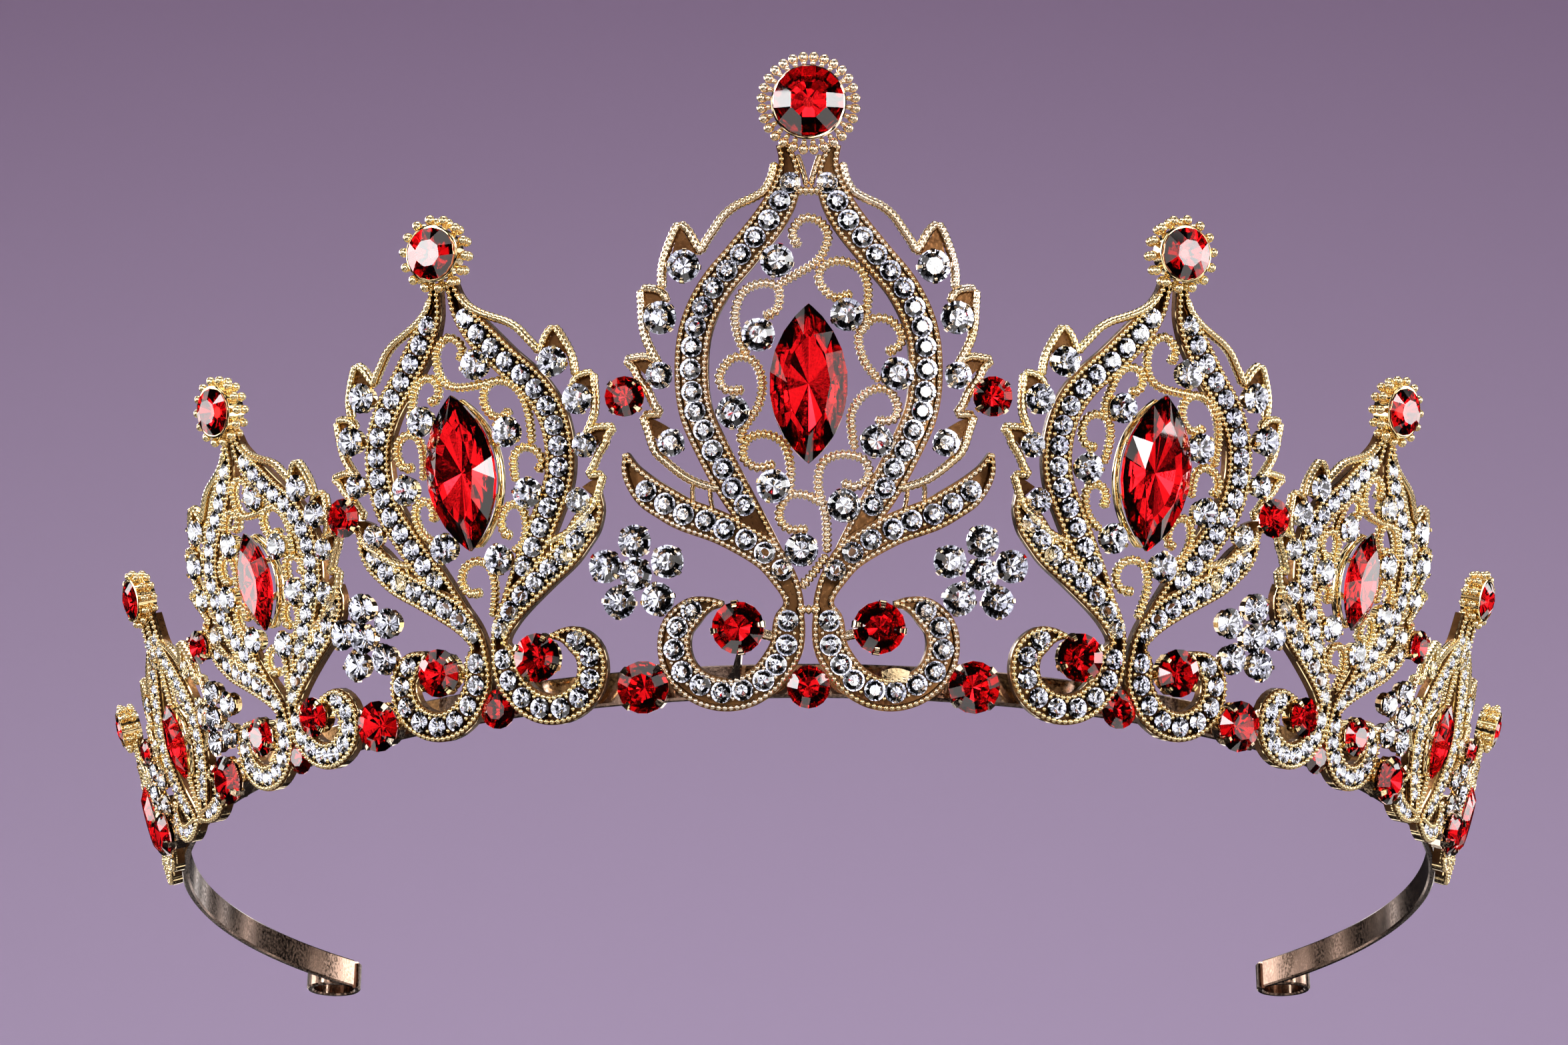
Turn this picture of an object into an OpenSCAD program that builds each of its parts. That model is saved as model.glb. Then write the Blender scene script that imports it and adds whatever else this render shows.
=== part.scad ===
/* [Crown] */
// Radius of the crown's foot, along the backs of the castings
foot_r = 67.5; // [60:0.5:72]
// How far the castings lean outward, in degrees
flare = 19; // [14:1:24]
// Turn of each casting from the front: centre, first, second, third, fourth
panel_turn = [0, 25, 46, 64, 79]; // [0:0.5:85]
// Size of each casting as a share of the front one
panel_size = [1, 0.81, 0.65, 0.43, 0.28]; // [0.27:0.01:1]

/* [Castings] */
// Thickness of the floor that every wire and channel shares
floor_t = 0.9; // [0.7:0.1:1.2]
// Height of the rims above the back of the casting
rim_h = 1.7; // [1.4:0.1:2]
// Width of a channel's rim
rim_w = 0.5; // [0.4:0.05:0.6]
// Width of the vine and leaf wires
wire_w = 0.85; // [0.7:0.05:1]

/* [Stones] */
// Diameter of the small stones that fill the channels
pave_d = 2; // [1.8:0.1:2.1]
// Diameter of the clear stones on the vines and in the flowers
vine_stone_d = 3.15; // [2.8:0.05:3.3]
// Diameter of the two lower clear stones on the leaves
leaf_stone_d = 2.6; // [2.2:0.1:2.8]
// Diameter of the red stone in each volute of the three largest castings
volute_stone_d = [4.9, 4.6, 3.9]; // [3:0.1:5.2]
// Diameter of the red stone on each finial, front casting first
finial_stone_d = [6.7, 5.2, 4.8, 4, 3.4]; // [3:0.1:7]
// Outer diameter of each finial's crown of prongs, front casting first
finial_d = [9.8, 7.6, 7.2, 6.2, 5.4]; // [5:0.1:10]
// Length of each pointed oval stone, front casting first
oval_l = [15, 15, 10, 8, 8]; // [6:0.5:16]
// Width of each pointed oval stone, front casting first
oval_w = [7.4, 7.4, 5, 4, 4]; // [3:0.1:7.6]
// Diameter of the red stones low between two castings
low_link_d = 4.9; // [4:0.1:5]
// Diameter of the red stones high between two castings
high_link_d = 3.8; // [3:0.1:4]
// Diameter of the red stone between the two volutes of a casting
foot_stone_d = 4; // [3:0.1:4.1]

/* [Head band] */
// Height of the band's strip
band_h = 3.2; // [2.5:0.1:4]
// Thickness of the band's strip
band_t = 0.8; // [0.6:0.1:1]
// Height of the band's lower edge above the feet of the castings
band_z = 1.3; // [1:0.1:2]
// Turn of each end of the band from the front, in degrees
band_turn = 126; // [110:1:130]
// Inner radius of the eye that each end is rolled into
eye_r = 2.4; // [2:0.1:2.8]

/* [Hidden] */
$fn = 32;
SIDES = [for (k = [1:4]) each [[k, -1], [k, 1]]];
front_name = "front";
side_name = ["left", "right"];
PANELS = concat([[0, 1]], SIDES);
KINDS = ["casting", "oval_stone", "finial_stone", "volute_stones", "vine_stones",
    "channel_stones"];
LARGE = 3;

GOLD = "#e2bd7a";
DARK_GOLD = "#a97f4a";
RED = "#a80f1c";
CLEAR = "#dfe3ee";

apex = foot_r / sin(flare);
spline_steps = 2;
casting_steps = [2, 1, 1, 1, 1];
strips_each_side = [1, 1, 1, 0, 0];
pave_pitch = pave_d + 0.06;
setting_t = 1.2;
seat_wall = 0.25;
seat_gap = 0.05;
// Degrees by which neighbouring strips of a casting run into each other.
strip_lap = [0.03, 0.07, 0.07, 0, 0];
weld = 0.03;

// Centre lines drawn on the front casting, right half: across, up, and width.
channel_line = [[1.9, 52.6, 2.4], [1.75, 50.2, 2.5], [2.4, 47.9, 3], [3.7, 45.6, 3.1],
    [6.25, 42.4, 3.1], [8.75, 39.3, 3.1], [10.4, 35.7, 3.1], [10.85, 31.7, 3.1],
    [10.4, 27.8, 3.1], [8.8, 24.1, 3.1], [6.95, 20.6, 3.1], [5.1, 17.6, 2.8],
    [3.3, 14.9, 2], [1.6, 12.2, 1.4]];
arm_line = [[17.1, 23.9, 0.5], [16.4, 22, 2], [14.9, 20.4, 3], [13.1, 19.2, 3],
    [11.3, 18.2, 3], [7.7, 16.8, 3], [4, 14.6, 3], [2.4, 12.9, 3], [1.8, 10.6, 2.6],
    [1.85, 8.1, 2.9]];
volute_line = [[1.85, 8.1, 2.9], [2, 6, 3], [2.95, 4.2, 3], [4.2, 2.75, 3],
    [6, 1.75, 3], [8, 1.55, 3], [10, 2.2, 3], [11.6, 3.6, 3], [12.35, 5.6, 3],
    [12.1, 7.7, 3], [10.7, 9.25, 2.6], [9.2, 9.9, 1.4], [7.8, 9.95, 0.5]];
leaf_lines = [
    [[3.1, 50], [4.1, 48.2], [8.2, 45.6], [9.8, 42.9]],
    [[9.9, 42.4], [12, 45.6]],
    [[12, 45.6], [13.4, 42.4], [13.5, 39]],
    [[13, 38], [13.8, 39.1], [15.6, 39.4]],
    [[15.6, 39.4], [15.4, 36.2], [13.7, 32]],
    [[14.2, 32.6], [17, 32.9]],
    [[17, 32.9], [15.4, 30.8], [14.3, 28.4]],
    [[13.4, 27.7], [15, 27.4], [13.1, 23.1], [8.3, 20.5]]];
leaf_stones = [[11.45, 41.4, vine_stone_d], [13.7, 36.7, vine_stone_d],
    [13.8, 31.2, leaf_stone_d], [12.7, 25, leaf_stone_d]];

// Vine wires of the front casting. Each is a hook that curls over a stone.
front_vines = [
    [[-0.9, 43.1], [-1.5, 44.6], [-0.4, 45.9], [1.1, 45.5], [1.8, 44.1], [0.9, 42],
        [-1, 40.7], [-2.9, 39.6]],
    [[-4.2, 36.6], [-2.9, 37.4], [-2.8, 39.3], [-4.3, 39.8], [-6.1, 38.9],
        [-6.8, 36.8], [-6.4, 34.6], [-5.6, 33]],
    [[-5.9, 29.8], [-7.7, 29.9], [-8.2, 31.2], [-7, 32.8], [-5.2, 32.6],
        [-4.3, 30.8], [-4.6, 28.4], [-6, 26.2], [-6.3, 24.8]],
    [[-3, 22.9], [-4.8, 22.6], [-6, 23.6], [-5.6, 25.2], [-4, 25.7], [-2.3, 24.8],
        [-1.65, 22.6], [-1.75, 20.2]],
    [[0, 16.8], [-1.9, 16.9], [-2.7, 18.2], [-1.9, 19.9], [-0.2, 20], [1.2, 19.2]],
    [[4.1, 38.8], [2.3, 38.5], [1, 39.9], [1.3, 41.3], [2.9, 41.9], [4.8, 41.1],
        [5.5, 39.2], [5.2, 36.4], [4.6, 34.6], [5.2, 32.4], [6.6, 30.6]],
    [[7.1, 33.3], [8.3, 33.9], [8.6, 35], [7.6, 36.3], [6, 36.5], [4.8, 35.2]],
    [[6.1, 26.9], [7.8, 27.1], [8.2, 28.4], [7.2, 29.9], [5.4, 29.6], [4, 27.8],
        [4, 25.8], [4.3, 24.2]],
    [[3, 21.2], [4.4, 20.8], [5.5, 21.8], [5.1, 23.3], [3.1, 23.8], [1.3, 23],
        [0.9, 20.8], [1.6, 18], [1.7, 14.6]],
    [[-1, 11.9], [0.9, 13.6]]];
front_vine_stones = [[-2.9, 41.8], [-4.6, 34.9], [-6.9, 27.7], [-3.2, 20.8],
    [3.5, 36.8], [8.1, 31.3], [6.2, 25], [3.2, 19], [-0.6, 14.9]];

// The first and second castings at each side share another pattern, drawn at the
// front casting's size.
side_vines = [
    [[-1.4, 42.6], [-2.6, 44.2], [-1.4, 46], [0.5, 45.9], [1.6, 44.2], [0.6, 41.9],
        [-0.6, 40.4]],
    [[-3.2, 38.4], [-1.6, 39.2], [-1.9, 41], [-3.8, 41.6], [-5.7, 40.2],
        [-6.1, 37.8], [-5.4, 35.6]],
    [[-6.4, 32.6], [-4.9, 33.2], [-5, 35], [-7, 35.6], [-8.4, 34.2]],
    [[-4.4, 29.4], [-5.2, 31.6], [-7, 31.3], [-7.8, 29.4], [-6.6, 27], [-4.6, 25.4]],
    [[-3.2, 22.4], [-4.6, 21.6], [-5.2, 23], [-4, 24.6], [-2.2, 24], [-1.6, 21.4],
        [-1.8, 18], [-1.2, 13.6]],
    [[5, 36.4], [3.4, 37.2], [3.4, 39], [5, 39.8], [6.6, 38.6], [6.8, 36.2],
        [5.8, 34.2]],
    [[6.8, 31], [5.2, 31.6], [5.2, 33.2], [7, 33.6], [8.4, 32.2], [8.2, 29.6],
        [7, 27.6]],
    [[4, 24.6], [3.3, 26.2], [4.6, 27.8], [6.6, 27.2], [6.8, 25], [5.2, 22.6],
        [3.4, 21.6]]];
side_vine_stones = [[3.2, 42.2], [-4.2, 36.6], [-7, 30.6], [-4.2, 24.4], [5.2, 34.4],
    [7, 29.4], [3.2, 21.2]];

flower_ring_r = 3.05;
// The two smallest castings at each side are a plain drop round their oval stone.
small_channel_line = [[2, 53.5, 2.6], [2.6, 46, 2.8], [5.4, 40, 3.1], [9, 33, 3.1],
    [11.3, 26, 3.1], [11.3, 19, 3.1], [9, 12, 3.1], [5.4, 6.4, 2.8], [2.6, 2.6, 2]];
small_scroll_line = [[2, 3.4, 1.6], [5.4, 2.6, 2.4], [10, 2.4, 2.8], [14, 4, 2.8],
    [15.4, 7.6, 2.6], [13.6, 10.2, 1.8], [12, 9.8, 0.8]];
small_leaf_lines = [
    [[3.4, 47], [8.4, 43], [12.4, 38]],
    [[12.4, 38], [14.6, 43]],
    [[14.6, 43], [17.6, 37], [17.4, 32]],
    [[17.2, 31.4], [20.4, 32.6]],
    [[20.4, 32.6], [20.6, 25], [17.2, 19.4], [13.4, 16]]];
small_leaf_stones = [[14.6, 36, leaf_stone_d], [17.2, 26, leaf_stone_d]];
small_vines = [
    [[-3, 46], [3, 46]],
    [[0, 44], [0, 30]],
    [[0, 15], [0, 3]],
    [[-3, 3.4], [3, 3.4]],
    [[-10, 24], [-6, 22.4], [0, 22]],
    [[0, 22], [6, 22.4], [10, 24]],
    for (half = [-1, 1]) each [[[14.6 * half, 36], [11 * half, 36]],
        [[20 * half, 26], [12 * half, 26]]]];
small_vine_stones = [[0, 43.5]];

cross_ties = [[[-1.4, 48.4], [1.4, 48.4]], [[-1, 8.6], [1, 8.6]]];
stone_tabs = [[[2.8, 6.8], [4.6, 7.4]], [[6.6, 2.4], [6.5, 5.6]]];

volute_stone_place = [6.35, 7.7];

flower_v = [13.2, 11.2, 9, 7];
flower_size = [1, 0.95, 0.85, 0.75];
low_link_v = 2.7;
high_link_v = [29.8, 23, 16.5, 11.5];
high_link_size = [1, 1, 0.9, 0.8];
foot_stone_v = 2.2;

strip_turn = 9;
finial_prongs = [28, 18, 16, 14, 12];
finial_wall_h = 2.8;
foot_rise = [for (k = [0:4])
    -min([for (p = outline(sized(foot_line(k), panel_size[k]), casting_steps[k])) p[1]])];
band_inner_r = foot_r + band_z * tan(flare) - band_t;
eye_outer_r = eye_r + band_t;
eye_axis_r = band_inner_r + eye_outer_r;
front_reach = foot_r + finial_top(0) * sin(flare) + finial_wall_h * cos(flare);
back_reach = eye_outer_r - eye_axis_r * cos(band_turn);
centre_shift = (front_reach - back_reach) / 2;
foot_lift = rim_h * sin(flare);

function panel_name(p) = p[0] == 0 ? front_name : str(side_name[(p[1] + 1) / 2], "_", p[0]);
function panel_angle(p) = p[1] * panel_turn[p[0]];
function size_of(p) = panel_size[p[0]];
function thin(s) = pow(s, 0.35);
function sized(points, s) =
    [for (p = points) [p[0] * s, p[1] * s, (len(p) > 2 ? p[2] : wire_w) * thin(s)]];
function raised(points, rise) = [for (p = points) [p[0], p[1] + rise, p[2]]];
function drawn(points, k) = raised(sized(points, panel_size[k]), foot_rise[k]);
function place(point, k) = [point[0] * panel_size[k], point[1] * panel_size[k] + foot_rise[k]];
function finial_v(k) = place([0, 51.8], k)[1] + finial_d[k] / 2 - 0.1;
function finial_top(k) = finial_v(k) + finial_d[k] / 2;
function small(k) = k >= LARGE;
function vines(k) = k == 0 ? front_vines : small(k) ? small_vines : side_vines;
function vine_stones(k) =
    k == 0 ? front_vine_stones : small(k) ? small_vine_stones : side_vine_stones;
function border_lines(k) = small(k) ? small_leaf_lines : leaf_lines;
function border_stones(k) = small(k) ? small_leaf_stones : leaf_stones;
function channel_lines(k) =
    small(k) ? [small_channel_line, small_scroll_line] : [channel_line, arm_line, volute_line];
// How far from each end of a channel its row of stones begins and stops.
function row_ends(k) = small(k) ? [[8, 12], [9, 11]] : [[3.6, 11.5], [4, 5.6], [0.2, 3.6]];
function foot_line(k) = small(k) ? small_scroll_line : volute_line;
function oval_place(k) = place([0, small(k) ? 22.5 : 30.3], k);
function has_part(kind, p) = kind != "volute_stones" || !small(p[0]);
function at(points, i) = points[max(0, min(len(points) - 1, i))];
function blend_point(a, b, c, d, t) =
    0.5 * (2 * b + (c - a) * t + (2 * a - 5 * b + 4 * c - d) * t * t
    + (3 * b - a - 3 * c + d) * t * t * t);
function curve(points, steps = spline_steps) = concat(
    [for (i = [0:len(points) - 2]) for (j = [0:steps - 1])
        blend_point(at(points, i - 1), at(points, i), at(points, i + 1), at(points, i + 2),
                    j / steps)],
    [at(points, len(points) - 1)]);
function flat(p) = [p[0], p[1]];
function side_of(line, i) =
    let (d = flat(at(line, i + 1)) - flat(at(line, i - 1)))
    [-d[1], d[0]] / norm(d);
function run_length(line, i) =
    i == 0 ? 0 : run_length(line, i - 1) + norm(flat(line[i]) - flat(line[i - 1]));
function spaced(line, pitch, start, stop) =
    let (runs = [for (i = [0:len(line) - 1]) run_length(line, i)],
         room = runs[len(runs) - 1] - start - stop,
         count = max(1, floor(room / pitch)),
         step = room / count)
    [for (n = [0:count])
        let (s = start + n * step,
             i = max([for (j = [0:len(line) - 2]) runs[j] <= s ? j : 0]),
             t = (s - runs[i]) / (runs[i + 1] - runs[i]))
        flat(line[i]) * (1 - t) + flat(line[i + 1]) * t];

function edge_points(line, grow, turn) =
    [for (i = [0:len(line) - 1])
        flat(line[i]) + turn * side_of(line, i) * max(0.05, line[i][2] + grow) / 2];
function outline(line, steps, grow = 0) =
    let (fine = curve(line, steps),
         left = edge_points(fine, grow, 1),
         right = edge_points(fine, grow, -1))
    concat(left, [for (i = [len(right) - 1:-1:0]) right[i]]);

module ribbon(k, line, grow = 0) {
    polygon(outline(drawn(line, k), casting_steps[k], grow));
}

module both_halves() {
    children();
    mirror([1, 0]) children();
}

// Puts a child at u across and v up the unrolled cone, facing out.
module on_cone(turn, u, v) {
    reach = norm([u, apex + v]);
    sweep = atan2(u, apex + v);
    rise = reach - apex;
    rotate([0, 0, turn + sweep / sin(flare)])
        translate([0, -foot_r - rise * sin(flare), rise * cos(flare)])
            rotate([90 + flare, 0, 0])
                rotate([0, 0, sweep]) children();
}

module on_foot() {
    translate([0, centre_shift, foot_lift]) children();
}

module channels(k, grow = 0) {
    both_halves() for (line = channel_lines(k)) ribbon(k, line, grow);
}

module wires(k) {
    both_halves() for (line = border_lines(k)) ribbon(k, line);
    for (line = vines(k)) ribbon(k, line);
    if (!small(k)) {
        for (line = cross_ties) ribbon(k, line);
        both_halves() for (line = stone_tabs) ribbon(k, line);
    }
}

module oval_outline(l, w) {
    r = (l * l + w * w) / (4 * w);
    intersection() {
        translate([r - w / 2, 0]) circle(r, $fn = 96);
        translate([w / 2 - r, 0]) circle(r, $fn = 96);
    }
}

// Round seats of all the stones of a casting outside its channels.
module seats(k, grow) {
    size = thin(panel_size[k]);
    for (p = vine_stones(k))
        translate(place(p, k)) circle(d = vine_stone_d * size + grow, $fn = 14);
    both_halves() {
        for (p = border_stones(k)) translate(place(p, k)) circle(d = p[2] * size + grow, $fn = 14);
        if (!small(k))
            translate(place(volute_stone_place, k)) circle(d = volute_stone_d[k] + grow, $fn = 18);
    }
    translate(oval_place(k)) oval_outline(oval_l[k] + grow, oval_w[k] + grow);
}

module plan(k) {
    channels(k);
    wires(k);
    seats(k, 2 * seat_wall);
    translate([0, finial_v(k)]) circle(d = finial_d[k] - 1, $fn = 24);
}

module pockets(k) {
    channels(k, -2 * rim_w);
    seats(k, seat_gap);
    translate([0, finial_v(k)]) circle(d = finial_stone_d[k] + seat_gap, $fn = 24);
}

module finial_ring(k) {
    count = finial_prongs[k];
    tooth = 0.7 * PI * finial_d[k] / count;
    translate([0, finial_v(k)]) difference() {
        union() {
            circle(d = finial_d[k] - tooth);
            for (i = [0:count - 1])
                rotate(360 / count * (i + 0.5)) translate([finial_d[k] / 2 - tooth / 2, 0])
                    circle(d = tooth, $fn = 6);
        }
        circle(d = finial_stone_d[k] + seat_gap);
    }
}

// Part of a plan, cut to strip i of the casting and laid flat round the cone's tip.
module strip_plan(k, i) {
    sweep = 2 * atan(tan(strip_turn * panel_size[k] / 2) * sin(flare));
    reach = apex + 80;
    edge = reach * tan(sweep / 2 + strip_lap[k]);
    open_edge = edge * 3;
    translate([0, -apex]) offset(delta = -weld) offset(delta = weld) intersection() {
        rotate(sweep * i) translate([0, apex]) children();
        polygon([[0, 0], [i == -strips_each_side[k] ? -open_edge : -edge, reach],
            [i == strips_each_side[k] ? open_edge : edge, reach]]);
    }
}

module strip(k, i) {
    rotate([0, 0, strip_turn * panel_size[k] * i]) on_cone(0, 0, 0) difference() {
        linear_extrude(rim_h) strip_plan(k, i) plan(k);
        translate([0, 0, floor_t]) linear_extrude(rim_h) strip_plan(k, i) pockets(k);
    }
}

module casting(k) {
    for (i = [-strips_each_side[k]:strips_each_side[k]]) strip(k, i);
    on_cone(0, 0, 0) translate([0, 0, floor_t / 2])
        linear_extrude(finial_wall_h - floor_t / 2) offset(delta = weld) finial_ring(k);
}

// A round cut stone on its culet: pavilion, girdle and crown round a flat table.
module round_stone(d) {
    rotate_extrude() polygon([[0, 0], [d * 0.2, 0], [d / 2, d * 0.26], [d / 2, d * 0.3],
        [d * 0.29, d * 0.45], [0, d * 0.45]]);
}

module oval_stone(k) {
    l = oval_l[k] - 0.1;
    w = oval_w[k] - 0.1;
    r = (l * l + w * w) / (4 * w);
    profile = [[0, 0], [r - w * 0.2, 0], [r, w * 0.2], [r, w * 0.25], [r - w * 0.27, w * 0.4],
        [0, w * 0.4]];
    intersection() {
        translate([r - w / 2, 0, 0]) rotate_extrude($fn = 96) polygon(profile);
        translate([w / 2 - r, 0, 0]) rotate_extrude($fn = 96) polygon(profile);
    }
}

module channel_row(k, line, start, stop) {
    d = pave_d * thin(panel_size[k]);
    fine = curve(drawn(line, k));
    for (p = spaced(fine, d * pave_pitch / pave_d, start * panel_size[k], stop * panel_size[k]),
         half = [-1, 1])
        on_cone(0, half * p[0], p[1]) translate([0, 0, floor_t]) round_stone(d);
}

module channel_stones(k) {
    for (i = [0:len(channel_lines(k)) - 1])
        channel_row(k, channel_lines(k)[i], row_ends(k)[i][0], row_ends(k)[i][1]);
}

module vine_and_leaf_stones(k) {
    for (p = vine_stones(k)) let (q = place(p, k))
        on_cone(0, q[0], q[1]) translate([0, 0, floor_t])
            round_stone(vine_stone_d * thin(panel_size[k]));
    for (p = border_stones(k), half = [-1, 1]) let (q = place(p, k))
        on_cone(0, half * q[0], q[1]) translate([0, 0, floor_t])
            round_stone(p[2] * thin(panel_size[k]));
}

module volute_stones(k) {
    for (half = [-1, 1]) let (q = place(volute_stone_place, k))
        on_cone(0, half * q[0], q[1]) translate([0, 0, floor_t]) round_stone(volute_stone_d[k]);
}

module at_panel(p) {
    on_foot() rotate([0, 0, panel_angle(p)]) children();
}

// The places between neighbouring castings, each with its number outward.
module at_links() {
    on_foot() for (k = [0:3], half = [-1, 1]) {
        $link = k;
        rotate([0, 0, half * (panel_turn[k] + panel_turn[k + 1]) / 2]) children();
    }
}

module flower_cups(size) {
    r = vine_stone_d * size / 2 + 0.12;
    circle(r);
    for (i = [0:4]) rotate(72 * i + 18) translate([flower_ring_r * size, 0]) circle(r);
}

module link_settings() {
    color(GOLD) {
        at_links() on_cone(0, 0, flower_v[$link])
            linear_extrude(setting_t) flower_cups(flower_size[$link]);
        at_links() on_cone(0, 0, low_link_v) cylinder(h = setting_t, d = low_link_d - 0.5);
        at_links() on_cone(0, 0, high_link_v[$link])
            cylinder(h = setting_t, d = (high_link_d - 0.4) * high_link_size[$link]);
    }
}

module flower_stones() {
    color(CLEAR) at_links() on_cone(0, 0, flower_v[$link]) translate([0, 0, setting_t]) {
        translate([0, 0, 0.5]) round_stone(vine_stone_d * flower_size[$link]);
        for (i = [0:4]) rotate(72 * i + 18)
            translate([flower_ring_r * flower_size[$link], 0, 0])
                round_stone(vine_stone_d * flower_size[$link]);
    }
}

module low_link_stones() {
    color(RED) at_links() on_cone(0, 0, low_link_v) translate([0, 0, setting_t])
        round_stone(low_link_d);
}

module high_link_stones() {
    color(RED) at_links() on_cone(0, 0, high_link_v[$link]) translate([0, 0, setting_t])
        round_stone(high_link_d * high_link_size[$link]);
}

module foot_stones() {
    color(RED) for (p = PANELS) if (!small(p[0])) at_panel(p) on_cone(0, 0, foot_stone_v)
        round_stone(foot_stone_d * thin(size_of(p)));
}

// A thin strip bent to the head, each end rolled outward into an eye.
module head_band() {
    color(DARK_GOLD) translate([0, centre_shift, foot_lift + band_z]) difference() {
        union() {
            rotate([0, 0, -90 - band_turn]) rotate_extrude(angle = 2 * band_turn, $fn = 96)
                translate([band_inner_r, 0]) square([band_t, band_h]);
            at_eyes() cylinder(h = band_h, r = eye_outer_r);
        }
        at_eyes() translate([0, 0, -1]) cylinder(h = band_h + 2, r = eye_r);
    }
}

module at_eyes() {
    for (half = [-1, 1]) rotate([0, 0, half * band_turn]) translate([0, -eye_axis_r, 0]) children();
}

module panel_part(kind, p) {
    k = p[0];
    if (kind == "casting") color(GOLD) at_panel(p) casting(k);
    if (kind == "oval_stone") color(RED) at_panel(p) on_cone(0, 0, oval_place(k)[1])
        translate([0, 0, floor_t]) oval_stone(k);
    if (kind == "finial_stone") color(RED) at_panel(p) on_cone(0, 0, finial_v(k))
        translate([0, 0, floor_t]) round_stone(finial_stone_d[k]);
    if (kind == "volute_stones") color(RED) at_panel(p) volute_stones(k);
    if (kind == "vine_stones") color(CLEAR) at_panel(p) vine_and_leaf_stones(k);
    if (kind == "channel_stones") color(CLEAR) at_panel(p) channel_stones(k);
}

for (kind = KINDS)
    for (p = PANELS)
        panel_part(kind, p);
head_band();
link_settings();
flower_stones();
low_link_stones();
high_link_stones();
foot_stones();
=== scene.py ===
import math

import bmesh
import bpy
import numpy as np
from mathutils import Matrix, Vector


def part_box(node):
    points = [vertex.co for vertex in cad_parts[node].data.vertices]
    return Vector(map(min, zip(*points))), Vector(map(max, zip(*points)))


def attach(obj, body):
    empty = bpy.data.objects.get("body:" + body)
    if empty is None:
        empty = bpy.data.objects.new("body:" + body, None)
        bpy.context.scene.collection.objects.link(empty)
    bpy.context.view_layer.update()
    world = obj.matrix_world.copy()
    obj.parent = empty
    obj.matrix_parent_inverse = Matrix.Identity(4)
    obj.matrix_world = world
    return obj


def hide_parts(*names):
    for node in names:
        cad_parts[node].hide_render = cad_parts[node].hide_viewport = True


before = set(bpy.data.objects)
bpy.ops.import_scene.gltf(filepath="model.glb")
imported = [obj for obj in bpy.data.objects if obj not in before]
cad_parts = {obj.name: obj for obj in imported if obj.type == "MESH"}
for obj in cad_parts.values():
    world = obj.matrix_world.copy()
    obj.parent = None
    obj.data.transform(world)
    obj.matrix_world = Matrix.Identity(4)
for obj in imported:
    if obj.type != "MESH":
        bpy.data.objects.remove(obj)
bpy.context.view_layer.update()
bpy.ops.object.select_all(action="DESELECT")

# ------------------------------
# The camera stands low and close in front of the crown and looks up at it, so
# that the front casting rises over the band.
# ------------------------------
LOOK_UP = math.radians(23.2)
bpy.ops.object.camera_add(
    location=(0, -0.3711, -0.1089), rotation=(math.radians(90) + LOOK_UP, 0, 0)
)
camera = bpy.context.object
camera.data.lens = 85
camera.data.sensor_width = 36
camera.data.shift_x = -0.0157
camera.data.shift_y = -0.0725
camera.data.clip_start = 0.01
bpy.context.scene.camera = camera

# ------------------------------
# The studio sweep is one sheet of pale lilac-grey paper: a floor that turns up
# into a wall well behind the crown. Its colour is painted darker towards its top,
# a painted shade standing in for less light reaching the top of the wall. The crown
# hangs in the air above the floor, and its metal and glass do not mirror the paper.
# ------------------------------
SWEEP_FLOOR_Z = -0.42
SWEEP_WALL_Y = 2.6
SWEEP_SIZE = 12
SWEEP_WALL_HEIGHT = 5
PAPER_LOW = (0.66, 0.55, 0.76, 1)
# The darker colour at the top of the wall is painted shade, not the paper's own colour.
PAPER_TOP_SHADE = (0.25, 0.175, 0.28, 1)
PAPER_LOW_Z = 0.35
PAPER_TOP_SHADE_Z = 1.7
SWEEP_BEND = 0.7


def extrude(z):
    """Extrudes the selected parts of the piece in edit mode straight up or down."""
    bpy.ops.mesh.extrude_region_move(TRANSFORM_OT_translate={"value": (0, 0, z)})


def pick(kind, test):
    """Selects the faces, edges or vertices of the piece in edit mode that pass a test."""
    bpy.ops.mesh.select_mode(type=kind)
    bpy.ops.mesh.select_all(action="DESELECT")
    shape = bmesh.from_edit_mesh(bpy.context.object.data)
    for element in {"VERT": shape.verts, "EDGE": shape.edges, "FACE": shape.faces}[kind]:
        if test(element):
            element.select_set(True)
    shape.select_flush_mode()
    bmesh.update_edit_mesh(bpy.context.object.data)


bpy.ops.mesh.primitive_plane_add(
    size=SWEEP_SIZE, location=(0, SWEEP_WALL_Y - SWEEP_SIZE / 2, SWEEP_FLOOR_Z)
)
sweep = bpy.context.object
sweep.name = "studio_sweep"
bpy.ops.object.mode_set(mode="EDIT")
back_y = SWEEP_SIZE / 2 - 0.01
pick("EDGE", lambda e: all(v.co.y > back_y for v in e.verts))
extrude(SWEEP_WALL_HEIGHT)
pick("EDGE", lambda e: all(v.co.y > back_y and abs(v.co.z) < 0.01 for v in e.verts))
bpy.ops.mesh.bevel(offset=SWEEP_BEND, segments=16)
bpy.ops.object.mode_set(mode="OBJECT")
bpy.ops.object.shade_smooth()
bpy.ops.object.transform_apply(location=True, rotation=True, scale=True)


def shader_node(nodes, kind, **values):
    """A shader node with some of its inputs set. An underscore stands for a space."""
    node = nodes.new(f"ShaderNode{kind}")
    for name, value in values.items():
        node.inputs[name.replace("_", " ")].default_value = value
    return node


def colour_mix(nodes, **colours):
    """A node that mixes the colours A and B."""
    node = nodes.new("ShaderNodeMix")
    node.data_type = "RGBA"
    for name, colour in colours.items():
        node.inputs[name].default_value = colour
    return node


def join_nodes(links, *joints):
    """Links nodes: each joint is a node and its output, then a node and its input."""
    for source, output, target, into in joints:
        links.new(source.outputs[output], target.inputs[into])


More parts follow.
